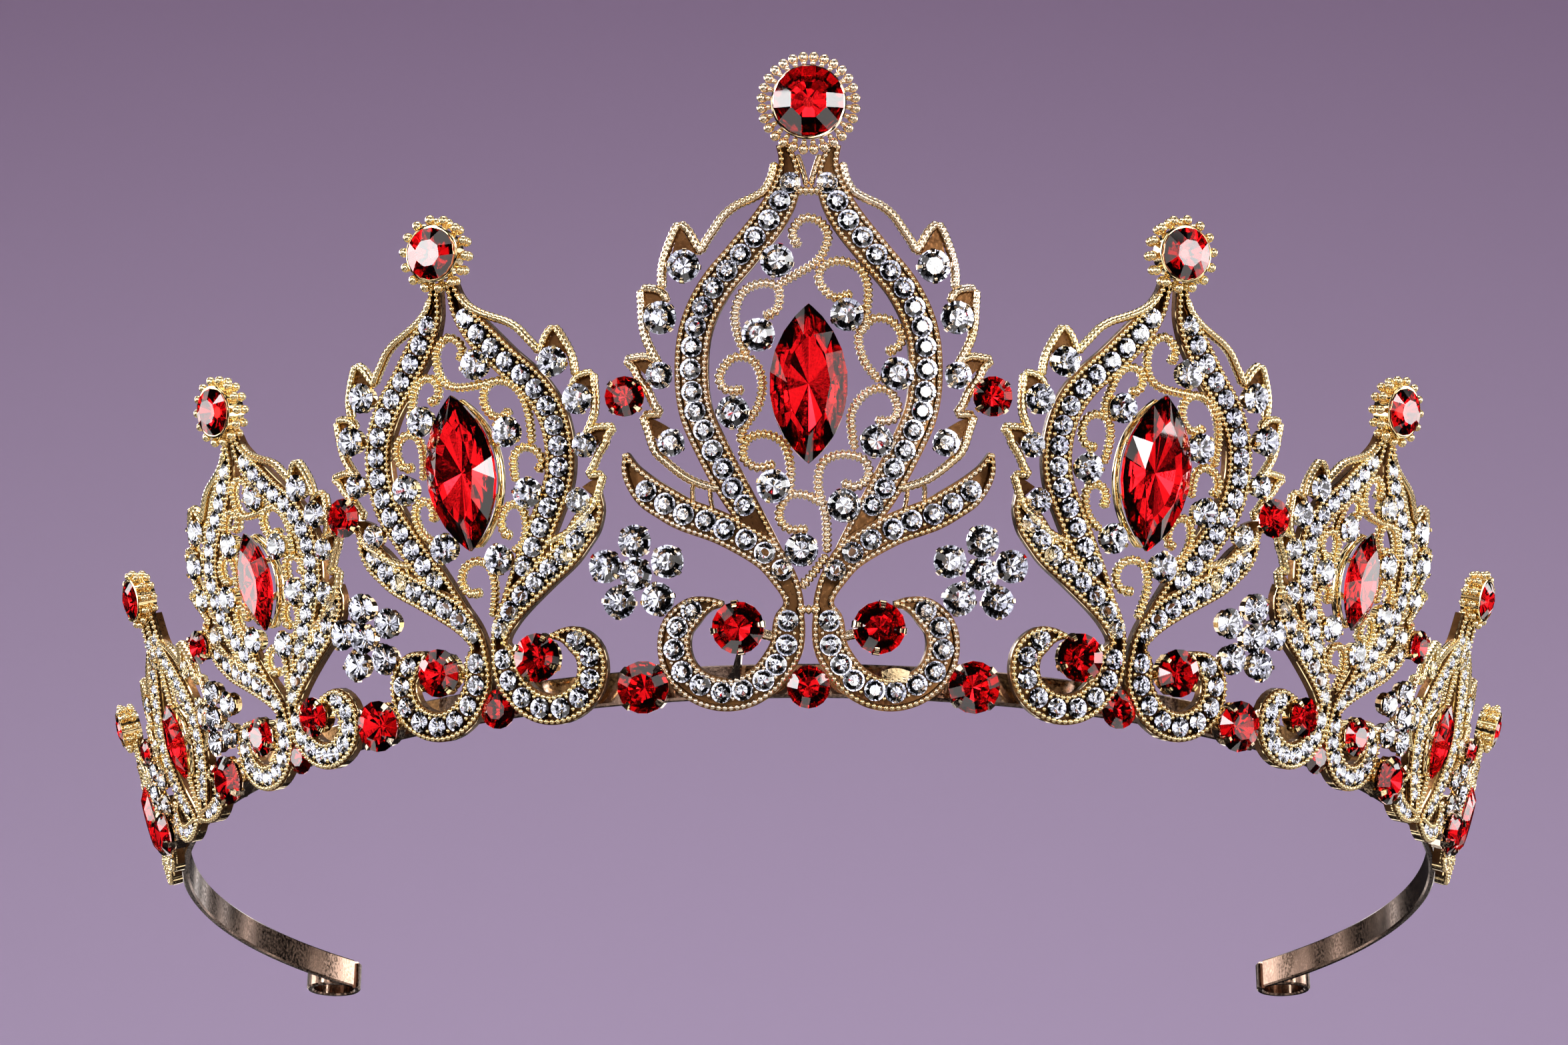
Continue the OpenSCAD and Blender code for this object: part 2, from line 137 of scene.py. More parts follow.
paper = bpy.data.materials.new("lilac_paper")
paper.use_nodes = True
nodes = paper.node_tree.nodes
paper_place = shader_node(nodes, "TexCoord")
paper_height = shader_node(nodes, "SeparateXYZ")
# Painted shade: the paper's colour darkens with height up the wall, standing in for the light
# falling off.
paper_shade_ramp = shader_node(nodes, "MapRange", From_Min=PAPER_LOW_Z, From_Max=PAPER_TOP_SHADE_Z)
paper_shade_mix = colour_mix(nodes, A=PAPER_LOW, B=PAPER_TOP_SHADE)
paper_shader = nodes["Principled BSDF"]
join_nodes(
    paper.node_tree.links,
    (paper_place, "Object", paper_height, "Vector"),
    (paper_height, "Z", paper_shade_ramp, "Value"),
    (paper_shade_ramp, "Result", paper_shade_mix, "Factor"),
    (paper_shade_mix, "Result", paper_shader, "Base Color"),
)
paper_shader.inputs["Roughness"].default_value = 0.9
paper_shader.inputs["Specular IOR Level"].default_value = 0.1
sweep.data.materials.append(paper)
sweep.visible_glossy = False
sweep.visible_transmission = False

# ------------------------------
# The lights are soft boxes: narrow ones out in front, one each side, one above,
# small ones near the camera, one behind, and one for the paper. The room is
# dark with pale patches, which is what the plating and the stones reflect.
# ------------------------------
SOFT_BOXES = [
    ("left_front_box", (-0.62, -0.55, 0.1), (0.14, 0.4), 2.2),
    ("right_front_box", (0.62, -0.55, 0.08), (0.14, 0.4), 2.0),
    ("left_side_box", (-0.9, 0.1, 0.15), (0.4, 0.5), 4.0),
    ("right_side_box", (0.9, 0.1, 0.15), (0.4, 0.5), 4.0),
    ("top_box", (0, -0.25, 0.8), (0.6, 0.25), 4),
    ("low_box", (0.1, -0.8, -0.3), (0.12, 0.08), 0.5),
    ("near_left_box", (-0.2, -0.7, 0.05), (0.08, 0.2), 1.0),
    ("near_right_box", (0.22, -0.7, -0.05), (0.08, 0.2), 0.8),
    ("back_box", (-0.4, 0.7, 0.5), (0.3, 0.2), 1.2),
    ("paper_box", (0, 0.6, 2.2), (2.5, 1.2), 15),
]
AIM = (0, -0.03, 0.03)
PAPER_AIM = (0, SWEEP_WALL_Y, 0.7)

for light_name, light_place, light_size, light_power in SOFT_BOXES:
    aim = PAPER_AIM if light_name == "paper_box" else AIM
    bpy.ops.object.light_add(type="AREA", location=light_place)
    box = bpy.context.object
    box.name = light_name
    box.data.shape = "RECTANGLE"
    box.data.size, box.data.size_y = light_size
    box.data.energy = light_power
    box.visible_glossy = light_name != "paper_box"
    away = box.location - Matrix.Translation(aim).translation
    box.rotation_euler = away.to_track_quat("Z", "Y").to_euler()

# The gold mirrors few, far-apart patches of the room; the stones gather closer ones.
ROOM_DARK = (0.012, 0.010, 0.012, 1)
ROOM_PALE = (1.9, 1.8, 1.75, 1)
SPARKLE_PALE = (2.2, 2.2, 2.3, 1)
ROOM_FAR = (0.36, 0.29, 0.40, 1)
room = bpy.data.worlds.new("studio_room")
room.use_nodes = True
nodes = room.node_tree.nodes
room_place = shader_node(nodes, "TexCoord")
room_patches = shader_node(nodes, "TexNoise", Scale=7, Detail=1)
room_range = shader_node(nodes, "MapRange", From_Min=0.565, From_Max=0.59)
room_mix = colour_mix(nodes, A=ROOM_DARK, B=ROOM_PALE)
sparkle = shader_node(nodes, "TexNoise", Scale=9, Detail=1)
sparkle_range = shader_node(nodes, "MapRange", From_Min=0.45, From_Max=0.56)
sparkle_mix = colour_mix(nodes, A=ROOM_DARK, B=SPARKLE_PALE)
room_path = shader_node(nodes, "LightPath")
room_through = colour_mix(nodes)
room_seen = colour_mix(nodes, B=ROOM_FAR)
join_nodes(
    room.node_tree.links,
    (room_place, "Generated", room_patches, "Vector"),
    (room_patches, "Fac", room_range, "Value"),
    (room_range, "Result", room_mix, "Factor"),
    (room_place, "Generated", sparkle, "Vector"),
    (sparkle, "Fac", sparkle_range, "Value"),
    (sparkle_range, "Result", sparkle_mix, "Factor"),
    (room_path, "Is Transmission Ray", room_through, "Factor"),
    (room_mix, "Result", room_through, "A"),
    (sparkle_mix, "Result", room_through, "B"),
    (room_path, "Is Camera Ray", room_seen, "Factor"),
    (room_through, "Result", room_seen, "A"),
    (room_seen, "Result", nodes["Background"], "Color"),
)
nodes["Background"].inputs["Strength"].default_value = 1
bpy.context.scene.world = room
bpy.context.scene.view_settings.view_transform = "Standard"

# ------------------------------
# The gold plating is bright, thin and pale on whatever stands proud. The side
# castings have a warmer, yellower copy of it: painted light for the lamps at the
# sides. The channel bodies and the leaf webs are a dark orange-brown gold: painted
# shade for their recesses.
# ------------------------------
PALE_GOLD = (0.84, 0.69, 0.54, 1)
# The side castings' warmer gold is painted light, standing in for the lamps at the sides.
SIDE_LIT_GOLD = (0.90, 0.73, 0.40, 1)
YELLOW_GOLD = (0.74, 0.53, 0.27, 1)
# The floor golds are painted shade: a dark orange-brown for the recesses of the channels and the
# leaf webs.
FLOOR_SHADE_GOLD = (0.16, 0.075, 0.028, 1)
FLOOR_SHADE_DARK = (0.05, 0.02, 0.008, 1)


def named_socket(group, name, direction, kind, value=None):
    """One input or output of a shader node group."""
    socket = group.interface.new_socket(name=name, in_out=direction, socket_type=kind)
    if value is not None:
        socket.default_value = value


# Uneven plating: two golds that drift into each other, and a finer cast grain.
plating = bpy.data.node_groups.new("uneven_plating", "ShaderNodeTree")
named_socket(plating, "Gold", "INPUT", "NodeSocketColor", PALE_GOLD)
named_socket(plating, "Second Gold", "INPUT", "NodeSocketColor", YELLOW_GOLD)
named_socket(plating, "Patch Scale", "INPUT", "NodeSocketFloat", 160)
named_socket(plating, "Smooth", "INPUT", "NodeSocketFloat", 0.12)
named_socket(plating, "Rough", "INPUT", "NodeSocketFloat", 0.3)
named_socket(plating, "Color", "OUTPUT", "NodeSocketColor")
named_socket(plating, "Roughness", "OUTPUT", "NodeSocketFloat")
named_socket(plating, "Grain", "OUTPUT", "NodeSocketFloat")
nodes = plating.nodes
into = nodes.new("NodeGroupInput")
out_of = nodes.new("NodeGroupOutput")
place = shader_node(nodes, "TexCoord")
patches = shader_node(nodes, "TexNoise", Detail=3)
grain = shader_node(nodes, "TexNoise", Scale=3200, Detail=2)
patch_range = shader_node(nodes, "MapRange", From_Min=0.36, From_Max=0.66)
gold_mix = colour_mix(nodes)
rough_range = shader_node(nodes, "MapRange", From_Min=0.35, From_Max=0.7)
join_nodes(
    plating.links,
    (place, "Object", patches, "Vector"),
    (place, "Object", grain, "Vector"),
    (into, "Patch Scale", patches, "Scale"),
    (patches, "Fac", patch_range, "Value"),
    (patch_range, "Result", gold_mix, "Factor"),
    (into, "Gold", gold_mix, "A"),
    (into, "Second Gold", gold_mix, "B"),
    (grain, "Fac", rough_range, "Value"),
    (into, "Smooth", rough_range, "To Min"),
    (into, "Rough", rough_range, "To Max"),
    (gold_mix, "Result", out_of, "Color"),
    (rough_range, "Result", out_of, "Roughness"),
    (grain, "Fac", out_of, "Grain"),
)


def plated(name, gold, second, smooth, rough, grain_depth):
    """A plated metal: the two colours of its plating, how bright it is and how deep its grain."""
    metal = bpy.data.materials.new(name)
    metal.use_nodes = True
    nodes = metal.node_tree.nodes
    shader = nodes["Principled BSDF"]
    shader.inputs["Metallic"].default_value = 1
    uneven = nodes.new("ShaderNodeGroup")
    uneven.node_tree = plating
    uneven.inputs["Gold"].default_value = gold
    uneven.inputs["Second Gold"].default_value = second
    uneven.inputs["Smooth"].default_value = smooth
    uneven.inputs["Rough"].default_value = rough
    dents = shader_node(nodes, "Bump", Strength=0.15, Distance=grain_depth)
    join_nodes(
        metal.node_tree.links,
        (uneven, "Color", shader, "Base Color"),
        (uneven, "Roughness", shader, "Roughness"),
        (uneven, "Grain", dents, "Height"),
        (dents, "Normal", shader, "Normal"),
    )
    return metal


bright_gold = plated("bright_gold", PALE_GOLD, YELLOW_GOLD, 0.04, 0.12, 0.00002)
# A warmer copy of the pale gold for the side castings: painted light for the side lamps.
side_lit_gold = plated("side_lit_gold", SIDE_LIT_GOLD, YELLOW_GOLD, 0.05, 0.14, 0.00002)
# The channel floors' gold is darkened as painted shade for their recesses.
floor_shade_gold = plated("channel_floor_shade_gold", FLOOR_SHADE_GOLD, FLOOR_SHADE_DARK, 0.25, 0.5, 0.00006)

# ------------------------------
# The nine castings stand round the band and lean outward, so they are drawn
# flat, in mm (across, up, out), and laid on a cone. The flat drawing is that of
# the front casting; the others are smaller, and the last two have their own.
# ------------------------------
FOOT_R = 67.5
FLARE = math.radians(19)
APEX = FOOT_R / math.sin(FLARE)
BAND_T = 0.8
BAND_Z = 1.3
BAND_OUTER_R = FOOT_R + BAND_Z * math.tan(FLARE)
band_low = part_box("head_band")[0]
CENTRE_Y = band_low.y * 1000 + BAND_OUTER_R
FOOT_Z = band_low.z * 1000 - BAND_Z

CASTINGS = [("front", 0, 0)] + [
    (f"{side}_{k}", k, turn * sign)
    for k, turn in ((1, 25), (2, 46), (3, 64), (4, 79))
    for side, sign in (("left", -1), ("right", 1))
]
CASTING_SIZE = [1, 0.81, 0.65, 0.43, 0.28]
FOOT_RISE = [-0.05, 0.13, 0.29, 0, 0.21]
FIRST_SMALL = 3
SLIMMING = 0.35
SIDE_WIDENING = 0.1
WIDER_FROM_UP = 12
WIDER_OVER = 18


def laid_on_cone(flat, turn):
    """Points drawn flat, in mm, laid on the cone at a turn from the front, in metres."""
    across, up, out = np.asarray(flat, float).T
    reach = np.hypot(across, APEX + up)
    azimuth = math.radians(turn) + np.arctan2(across, APEX + up) / math.sin(FLARE)
    rise = reach - APEX
    radius = FOOT_R + rise * math.sin(FLARE) + out * math.cos(FLARE)
    height = FOOT_Z + rise * math.cos(FLARE) - out * math.sin(FLARE)
    return np.column_stack(
        [radius * np.sin(azimuth), CENTRE_Y - radius * np.cos(azimuth), height]
    ) / 1000


def seat_on_cone(across, up, out, turn, spin=0, size=1):
    """The place of a piece made upright at the origin, in mm, on the cone and facing out."""
    sweep = math.atan2(across, APEX + up)
    azimuth = math.radians(turn) + sweep / math.sin(FLARE)
    where = laid_on_cone([(across, up, out)], turn)[0]
    facing = (
        Matrix.Rotation(azimuth, 4, "Z")
        @ Matrix.Rotation(math.radians(90) + FLARE, 4, "X")
        @ Matrix.Rotation(sweep + math.radians(spin), 4, "Z")
    )
    return Matrix.Translation(where) @ facing @ Matrix.Scale(size / 1000, 4)


def thin(k):
    """How much slimmer the wires and channels of a smaller casting are."""
    return CASTING_SIZE[k] ** SLIMMING


def wider(up, k):
    """How much wider the first and second castings at each side are above their necks."""
    if k == 0 or k >= FIRST_SMALL:
        return 1
    return 1 + SIDE_WIDENING * min(1, max(0, (up - WIDER_FROM_UP) / WIDER_OVER))


def drawn(line, k):
    """A line of the flat drawing at the size of casting k, with its widths."""
    size = CASTING_SIZE[k]
    return [
        (p[0] * size * wider(p[1], k), p[1] * size + FOOT_RISE[k],
         (p[2] if len(p) > 2 else WIRE_W) * thin(k))
        for p in line
    ]


def mirrored(line):
    return [(-p[0], *p[1:]) for p in line]


def distance_along(line):
    """How far along a line each of its points is."""
    return np.concatenate([[0], np.cumsum(np.hypot(*np.diff(line[:, :2], axis=0).T))])


def even_line(points, gap, whole=1):
    """A smooth line through given points, cut at even gaps into a whole count of beads."""
    p = np.array(points, float)
    ends = np.vstack([2 * p[:1] - p[1:2], p, 2 * p[-1:] - p[-2:-1]])
    t = np.linspace(0, 1, 12, endpoint=False)[:, None]
    pieces = [
        0.5 * (2 * b + (c - a) * t + (2 * a - 5 * b + 4 * c - d) * t**2
               + (3 * b - a - 3 * c + d) * t**3)
        for a, b, c, d in zip(ends[:-3], ends[1:-2], ends[2:-1], ends[3:])
    ]
    dense = np.vstack(pieces + [p[-1:]])
    run = distance_along(dense)
    steps = max(1, round(run[-1] / gap / whole)) * whole
    along = np.linspace(0, run[-1], steps + 1)
    return np.column_stack([np.interp(along, run, column) for column in dense.T])


def sideways(line):
    """The unit vector to the left of a line at each of its points."""
    ahead = np.gradient(line[:, :2], axis=0)
    ahead /= np.maximum(np.hypot(*ahead.T), 1e-9)[:, None]
    return np.column_stack([-ahead[:, 1], ahead[:, 0]])


def swept(line, sections):
    """A closed solid along a line. sections holds a ring of (sideways, out) for each point."""
    count, around = sections.shape[:2]
    side = sideways(line)
    verts = np.concatenate(
        [
            line[:, None, :2] + side[:, None, :] * sections[:, :, :1],
            sections[:, :, 1:],
        ],
        axis=2,
    ).reshape(-1, 3)
    i = np.arange(count - 1)[:, None] * around
    j = np.arange(around)[None, :]
    after = (j + 1) % around
    quads = np.stack([i + j, i + around + j, i + around + after, i + after], axis=2).reshape(-1, 4)
    last = (count - 1) * around
    end = list(range(last + around - 1, last - 1, -1))
    return verts, [*quads.tolist(), list(range(around)), end]


def rounded_ends(line, radius):
    """A factor for the width of a wire that closes its ends round."""
    run = distance_along(line)
    from_end = np.minimum(run, run[-1] - run)
    return np.sqrt(np.clip(1 - (1 - np.clip(from_end / radius, 0, 1)) ** 2, 0.04, 1))


def ring_of(count, start=0.0):
    """Corners of a round section: sideways and out."""
    angle = start - np.arange(count) / count * 2 * math.pi
    return np.column_stack([np.cos(angle), np.sin(angle)])


class FlatWork:
    """The flat parts of one casting, collected until they are laid on the cone as one piece."""

    def __init__(self):
        self.verts, self.faces, self.metals, self.count = [], [], [], 0

    def add(self, solid, metal):
        verts, faces = solid
        self.faces += [[i + self.count for i in face] for face in faces]
        self.metals += [metal] * len(faces)
        self.verts.append(verts)
        self.count += len(verts)


# Material slots: the bright gold, and the dark floor gold that is painted shade in the channels and
# webs.
BRIGHT, SHADED_FLOOR = 0, 1
works = {name: FlatWork() for name, k, turn in CASTINGS}

# ------------------------------
# Channels: each casting has a drop of two curved channels, and below it two
# arms that run on into the volutes. A channel is a shallow cast trough, and
# each of its walls has a smooth rim with a row of fine beads inside it.
# ------------------------------
WIRE_W = 1.02
FLOOR_OUT = 0.75
WALL_OUT = 1.12
WALL_W = 0.5
BACK_OUT = 0.15
WALL_SLOPE = 0.08
# Pitch, radius, how far out, and how thick the neck between two beads is.
RIM_BEAD = (0.5, 0.12, 0.95, 1.0)
FINE_BEAD = (0.56, 0.27, 1.26, 0.2)
RIM_INSET = 0.1
BEAD_INSET = 0.32
NARROW = 2.8
NECK_DROP = 0.45
TOP_NECK_UP = 49.7
LOW_NECK_UP = (9.1, 12.1)
ARM_LIFT = 0.06
CLEAR_BY = 0.25

DROP_LINE = [
    (2.45, 52.9, 1.2), (2.0, 51.6, 1.6), (1.85, 50.3, 2.1), (2.3, 48.2, 2.8), (3.7, 45.6, 3.1),
    (6.25, 42.4, 3.1), (8.75, 39.3, 3.1), (10.4, 35.7, 3.1), (10.85, 31.7, 3.1),
    (10.4, 27.8, 3.1), (8.8, 24.1, 3.1), (6.95, 20.6, 3.0), (5.1, 17.6, 2.5), (3.3, 14.9, 1.7),
    (1.7, 12.3, 1.0),
]
SIDE_DROP_LINE = [
    (0.95, 52.8, 1.2), (1.2, 51.2, 1.5), (1.75, 49.4, 2.2), (2.75, 47.4, 2.8), (3.9, 45.6, 3.1),
    *DROP_LINE[5:],
]
VOLUTE_END = [
    (1.5, 10.7, 1.9), (1.4, 9.6, 2.0), (1.75, 8.3, 2.9), (2.0, 6.0, 3.1), (2.95, 4.2, 3.1),
    (4.2, 2.75, 3.1), (6.0, 1.75, 3.1), (8.0, 1.55, 3.1), (10.0, 2.2, 3.1), (11.6, 3.6, 3.1),
    (12.35, 5.6, 3.1), (12.1, 7.7, 3.0), (10.7, 9.25, 2.6), (9.2, 9.9, 1.4), (7.8, 9.95, 0.5),
]
ARM_LINE = [
    (17.0, 24.0, 0.5), (16.4, 22.2, 1.9), (14.9, 20.4, 2.9), (13.1, 19.2, 3.1), (11.3, 18.2, 3.1),
    (7.7, 16.8, 3.0), (4.0, 14.6, 2.9), (2.3, 12.4, 2.4), *VOLUTE_END,
]
SIDE_ARM_LINE = [
    (14.7, 25.6, 0.5), (14.2, 23.9, 2), (13.2, 22.2, 3), (12, 20.6, 3), (10.5, 19, 3),
    (7.5, 16.9, 3), (4.2, 14.5, 3), (2.4, 12.4, 2.4), *VOLUTE_END,
]
SMALL_DROP_LINE = [
    (2.0, 53.5, 2.6), (2.6, 46, 2.8), (5.4, 40, 3.1), (9, 33, 3.1), (11.3, 26, 3.1),
    (11.3, 19, 3.1), (9, 12, 3.1), (5.4, 6.4, 2.8), (2.6, 2.6, 2),
]
SMALL_SCROLL_LINE = [
    (2, 3.4, 1.6), (5.4, 2.6, 2.4), (10, 2.4, 2.8), (14, 4, 2.8), (15.4, 7.6, 2.6),
    (13.6, 10.2, 1.8), (12, 9.8, 0.8),
]


def channel_lines(k):
    if k >= FIRST_SMALL:
        return [drawn(SMALL_DROP_LINE, k), drawn(SMALL_SCROLL_LINE, k)]
    drop, arm = (DROP_LINE, ARM_LINE) if k == 0 else (SIDE_DROP_LINE, SIDE_ARM_LINE)
    return [drawn(drop, k), drawn(arm, k)]


def trough(line, lift, k):
    """The channel's body: two low walls with a floor between them, deep at the necks."""
    half = line[:, 2] / 2
    wall = np.minimum(WALL_W, half * 0.6)
    level = np.ones_like(half)
    low, high = BACK_OUT * level, (WALL_OUT + lift) * level
    up = (line[:, 1] - FOOT_RISE[k]) / CASTING_SIZE[k]
    low_neck = (up > LOW_NECK_UP[0]) & (up < LOW_NECK_UP[1]) & (k < FIRST_SMALL)
    deep = (up > TOP_NECK_UP) | low_neck
    floor = FLOOR_OUT + lift - NECK_DROP * np.maximum(deep, np.clip(NARROW - line[:, 2], 0, 1))
    corners = [
        (half, low), (half, high), (half - wall, high), (half - wall - WALL_SLOPE, floor),
        (-half + wall + WALL_SLOPE, floor), (-half + wall, high), (-half, high), (-half, low),
    ]
    return np.stack([np.column_stack(c) for c in corners], axis=1)


def bead_row(line, bead, lift):
    """One row of beads along a line."""
    pitch, radius, out, neck = bead
    row = even_line(line[:, :2], pitch / 3, whole=3)
    swell = np.tile([neck, 1.0, 1.0], len(row) // 3 + 1)[: len(row)]
    ring = ring_of(6, math.pi / 6)
    sections = np.empty((len(row), 6, 2))
    sections[:, :, 0] = ring[None, :, 0] * radius * swell[:, None]
    sections[:, :, 1] = out + lift + ring[None, :, 1] * radius * 1.15 * swell[:, None]
    return swept(row, sections)


def outside(line, others, room):
    """The longest stretch of a line that stays clear of some other channels."""
    free = np.ones(len(line), bool)
    for other in others:
        gaps = np.hypot(*(line[:, None, :2] - other[None, :, :2]).transpose(2, 0, 1))
        nearest = gaps.argmin(axis=1)
        free &= gaps.min(axis=1) > other[nearest, 2] / 2 - room
    best, start = (0, 0), None
    for i, clear in enumerate([*free, False]):
        if clear and start is None:
            start = i
        if not clear and start is not None:
            best, start = max(best, (i - start, start)), None
    return line[best[1]: best[1] + best[0]]


for name, k, turn in CASTINGS:
    drop, arm = (even_line(line, 0.5) for line in channel_lines(k))
    for half in (1, -1):
        flip = np.array([half, 1, 1])
        for line, lift, others in ((drop, 0, [arm]), (arm, ARM_LIFT, [])):
            half_line = line * flip
            # The trough body takes the dark floor gold, painted shade for the channel's recess.
            works[name].add(swept(half_line, trough(half_line, lift, k)), SHADED_FLOOR)
            for side in (1, -1):
                for bead, inset in ((RIM_BEAD, RIM_INSET), (FINE_BEAD, BEAD_INSET)):
                    offset = side * np.maximum(line[:, 2] / 2 - inset, 0.05)
                    edge = half_line.copy()
                    edge[:, :2] += sideways(half_line) * offset[:, None]
                    edge = outside(edge, [o * flip for o in others], CLEAR_BY)
                    if len(edge) > 3:
                        works[name].add(bead_row(edge, bead, lift), BRIGHT)

# ------------------------------
# Vines and leaves: inside the drop run hooked wires that curl over a stone
# each, ribbed across like rope, and an open gallery carries the oval stone.
# Outside it a plainer wire makes a row of pointed leaves. All are cast in one.
# ------------------------------
RIB_PITCH = 0.5
RIB_DEPTH = 0.42
WIRE_OUT = 0.85
WIRE_HALF_DEPTH = 0.62
BULB_AT = 0.45
BULB_LENGTH = 0.35
BORDER_RIBS = 0.16
BORDER_SHARE = 0.92
NECK_SHARE = 0.6
OVAL_L = [15, 15, 10, 8, 8]
OVAL_W = [7.4, 7.4, 5, 4, 4]
OVAL_UP = 30.3
SMALL_OVAL_UP = 22.5
RIM_W = 0.55
BAR_W = 0.6
GALLERY_LIFT = -0.35

FRONT_VINES = [
    [(-0.9, 43.1), (-1.5, 44.6), (-0.4, 45.9), (1.1, 45.5), (1.8, 44.1), (0.9, 42), (-1, 40.7),
     (-2.9, 39.6)],
    [(-4.2, 36.6), (-2.9, 37.4), (-2.8, 39.3), (-4.3, 39.8), (-6.1, 38.9), (-6.8, 36.8),
     (-6.4, 34.6), (-5.6, 33)],
    [(-5.9, 29.8), (-7.7, 29.9), (-8.2, 31.2), (-7, 32.8), (-5.2, 32.6), (-4.3, 30.8),
     (-4.6, 28.4), (-6, 26.2), (-6.3, 24.8)],
    [(-3, 22.9), (-4.8, 22.6), (-6, 23.6), (-5.6, 25.2), (-4, 25.7), (-2.3, 24.8),
     (-1.65, 22.6), (-1.75, 20.2)],
    [(0, 16.8), (-1.9, 16.9), (-2.7, 18.2), (-1.9, 19.9), (-0.2, 20), (1.2, 19.2)],
    [(4.1, 38.8), (2.3, 38.5), (1, 39.9), (1.3, 41.3), (2.9, 41.9), (4.8, 41.1), (5.5, 39.2),
     (5.2, 36.4), (4.6, 34.6), (5.2, 32.4), (6.6, 30.6)],
    [(7.1, 33.3), (8.3, 33.9), (8.6, 35), (7.6, 36.3), (6, 36.5), (4.8, 35.2)],
    [(6.1, 26.9), (7.8, 27.1), (8.2, 28.4), (7.2, 29.9), (5.4, 29.6), (4, 27.8), (4, 25.8),
     (4.3, 24.2)],
    [(3, 21.2), (4.4, 20.8), (5.5, 21.8), (5.1, 23.3), (3.1, 23.8), (1.3, 23), (0.9, 20.8),
     (1.6, 18), (1.7, 14.6)],
    [(-0.8, 11.4), (0.3, 12.6), (1.7, 14.5)],
]
SIDE_VINES = [
    [(0.8, 43.4), (1.2, 45.2), (-0.2, 46.5), (-1.7, 45.4), (-2, 43.4), (-1.4, 41.4), (0, 40.5),
     (2.4, 40.3), (4.4, 40.4)],
    [(-3.6, 39.3), (-2.5, 39.7), (-2.2, 41), (-2.9, 42.1), (-4.2, 42.1), (-5.2, 40.9),
     (-5.7, 39.2), (-6.1, 37.4), (-5.9, 35.9)],
    [(-6.4, 32.2), (-7.6, 32.3), (-8.3, 33.5), (-8.1, 35.2), (-6.9, 36.1), (-5.6, 35.6),
     (-5.1, 34), (-5.2, 31.8), (-5.5, 30.4)],
    [(-4.9, 25.3), (-4.8, 27), (-5.7, 28), (-6.9, 27.4), (-7.1, 25.8), (-6.4, 24), (-5, 22.8)],
    [(-0.1, 16.3), (-1.7, 16.4), (-2.5, 17.8), (-1.9, 19.4), (-0.3, 20), (1.1, 19.2),
     (1.6, 17.4), (1.4, 15.4), (0.8, 13.2)],
    [(5.9, 36.9), (4.9, 36.1), (3.7, 36.5), (3, 37.9), (3.2, 39.5), (4.4, 40.4), (6, 40),
     (7.2, 38.6), (7.8, 36.6), (7.9, 34.6), (7.8, 32.4)],
    [(8, 29), (8.7, 30.2), (8.1, 31.6), (6.8, 32.2), (5.7, 31.5), (5.4, 30), (5.5, 28.3)],
    [(4.4, 22.2), (3.5, 22.7), (3.3, 24.2), (4.1, 25.6), (5.4, 25.7), (6.1, 24.5), (6.1, 22.6),
     (5.4, 21), (4.2, 20.4)],
]
SMALL_VINES = [
    [(-3, 46), (0, 45.6), (3, 46)], [(0, 44), (0, 38), (0, 30)], [(0, 15), (0, 9), (0, 3)],
    [(-3, 3.4), (0, 3), (3, 3.4)], [(-10, 24), (-6, 22.4), (0, 22)], [(0, 22), (6, 22.4), (10, 24)],
    [(14.6, 36), (11, 36)], [(-14.6, 36), (-11, 36)], [(20, 26), (12, 26)], [(-20, 26), (-12, 26)],
]
LEAF_BORDER = [
    [(3.1, 51.2), (3.4, 49.8), (4.1, 48.5), (5.2, 47.8), (6.7, 47.1), (7.9, 46.1), (8.8, 44.8),
     (9.6, 43.6), (10, 42.7)],
    [(10, 42.5), (10.4, 43.4), (11.1, 44.7), (12, 45.6)],
    [(12, 45.6), (12.6, 44.4), (13.3, 42.5), (13.6, 41), (13.6, 39.3)],
    [(13.1, 38.0), (13.6, 39), (14.6, 39.4), (15.6, 39.4)],
    [(15.6, 39.4), (15.5, 37.9), (15.4, 36.2), (15.1, 34.7), (14.5, 33.4), (13.8, 32.2)],
    [(14, 32.4), (15, 33), (17.1, 32.8)],
    [(17.1, 32.8), (16.2, 31.9), (15.8, 31), (14.9, 29.8), (14.3, 28.5), (13.6, 27.6)],
    [(13.6, 27.6), (15.4, 27.6)],
    [(15.4, 27.6), (14.9, 26.2), (14.2, 24.2), (13.1, 23.1), (11.6, 21.9), (10.3, 21.2),
     (9, 20.8), (8.3, 20.6)],
    [(10.6, 21.4, 0.5), (10.7, 20.2, 0.5), (10.5, 18.6, 0.5)],
    [(9.1, 20.8, 0.5), (9, 19.6, 0.5), (8.7, 18.2, 0.5)],
]
SIDE_LEAF_BORDER = [
    [(1.7, 51.3), (2.4, 50), (3.7, 48.8), (5.2, 47.9), (6.7, 47.1), (7.9, 46.1), (8.8, 44.8),
     (9.6, 43.6), (10, 42.7)],
    *LEAF_BORDER[1:],
]
SMALL_LEAF_BORDER = [
    [(3.4, 47), (8.4, 43), (12.4, 38)], [(12.4, 38), (14.6, 43)],
    [(14.6, 43), (17.6, 37), (17.4, 32)], [(17.2, 31.4), (20.4, 32.6)],
    [(20.4, 32.6), (20.6, 25), (17.2, 19.4), (13.4, 16)],
]
LEAF_WEBS = [
    [(12.0, 45.0, 0.3), (11.8, 43.8, 1.3), (11.6, 42.4, 2.4)],
    [(15.3, 39.2, 0.4), (14.8, 38.6, 1.2), (14.2, 37.8, 2.0)],
    [(16.6, 32.6, 0.3), (15.5, 32.2, 0.9), (14.6, 31.8, 1.6)],
    [(15.1, 27.3, 0.3), (14.3, 26.6, 1.0), (13.5, 25.8, 1.6)],
]
STONE_TABS = [[(2.8, 6.8), (4.8, 7.3)], [(-2.8, 6.8), (-4.8, 7.3)]]
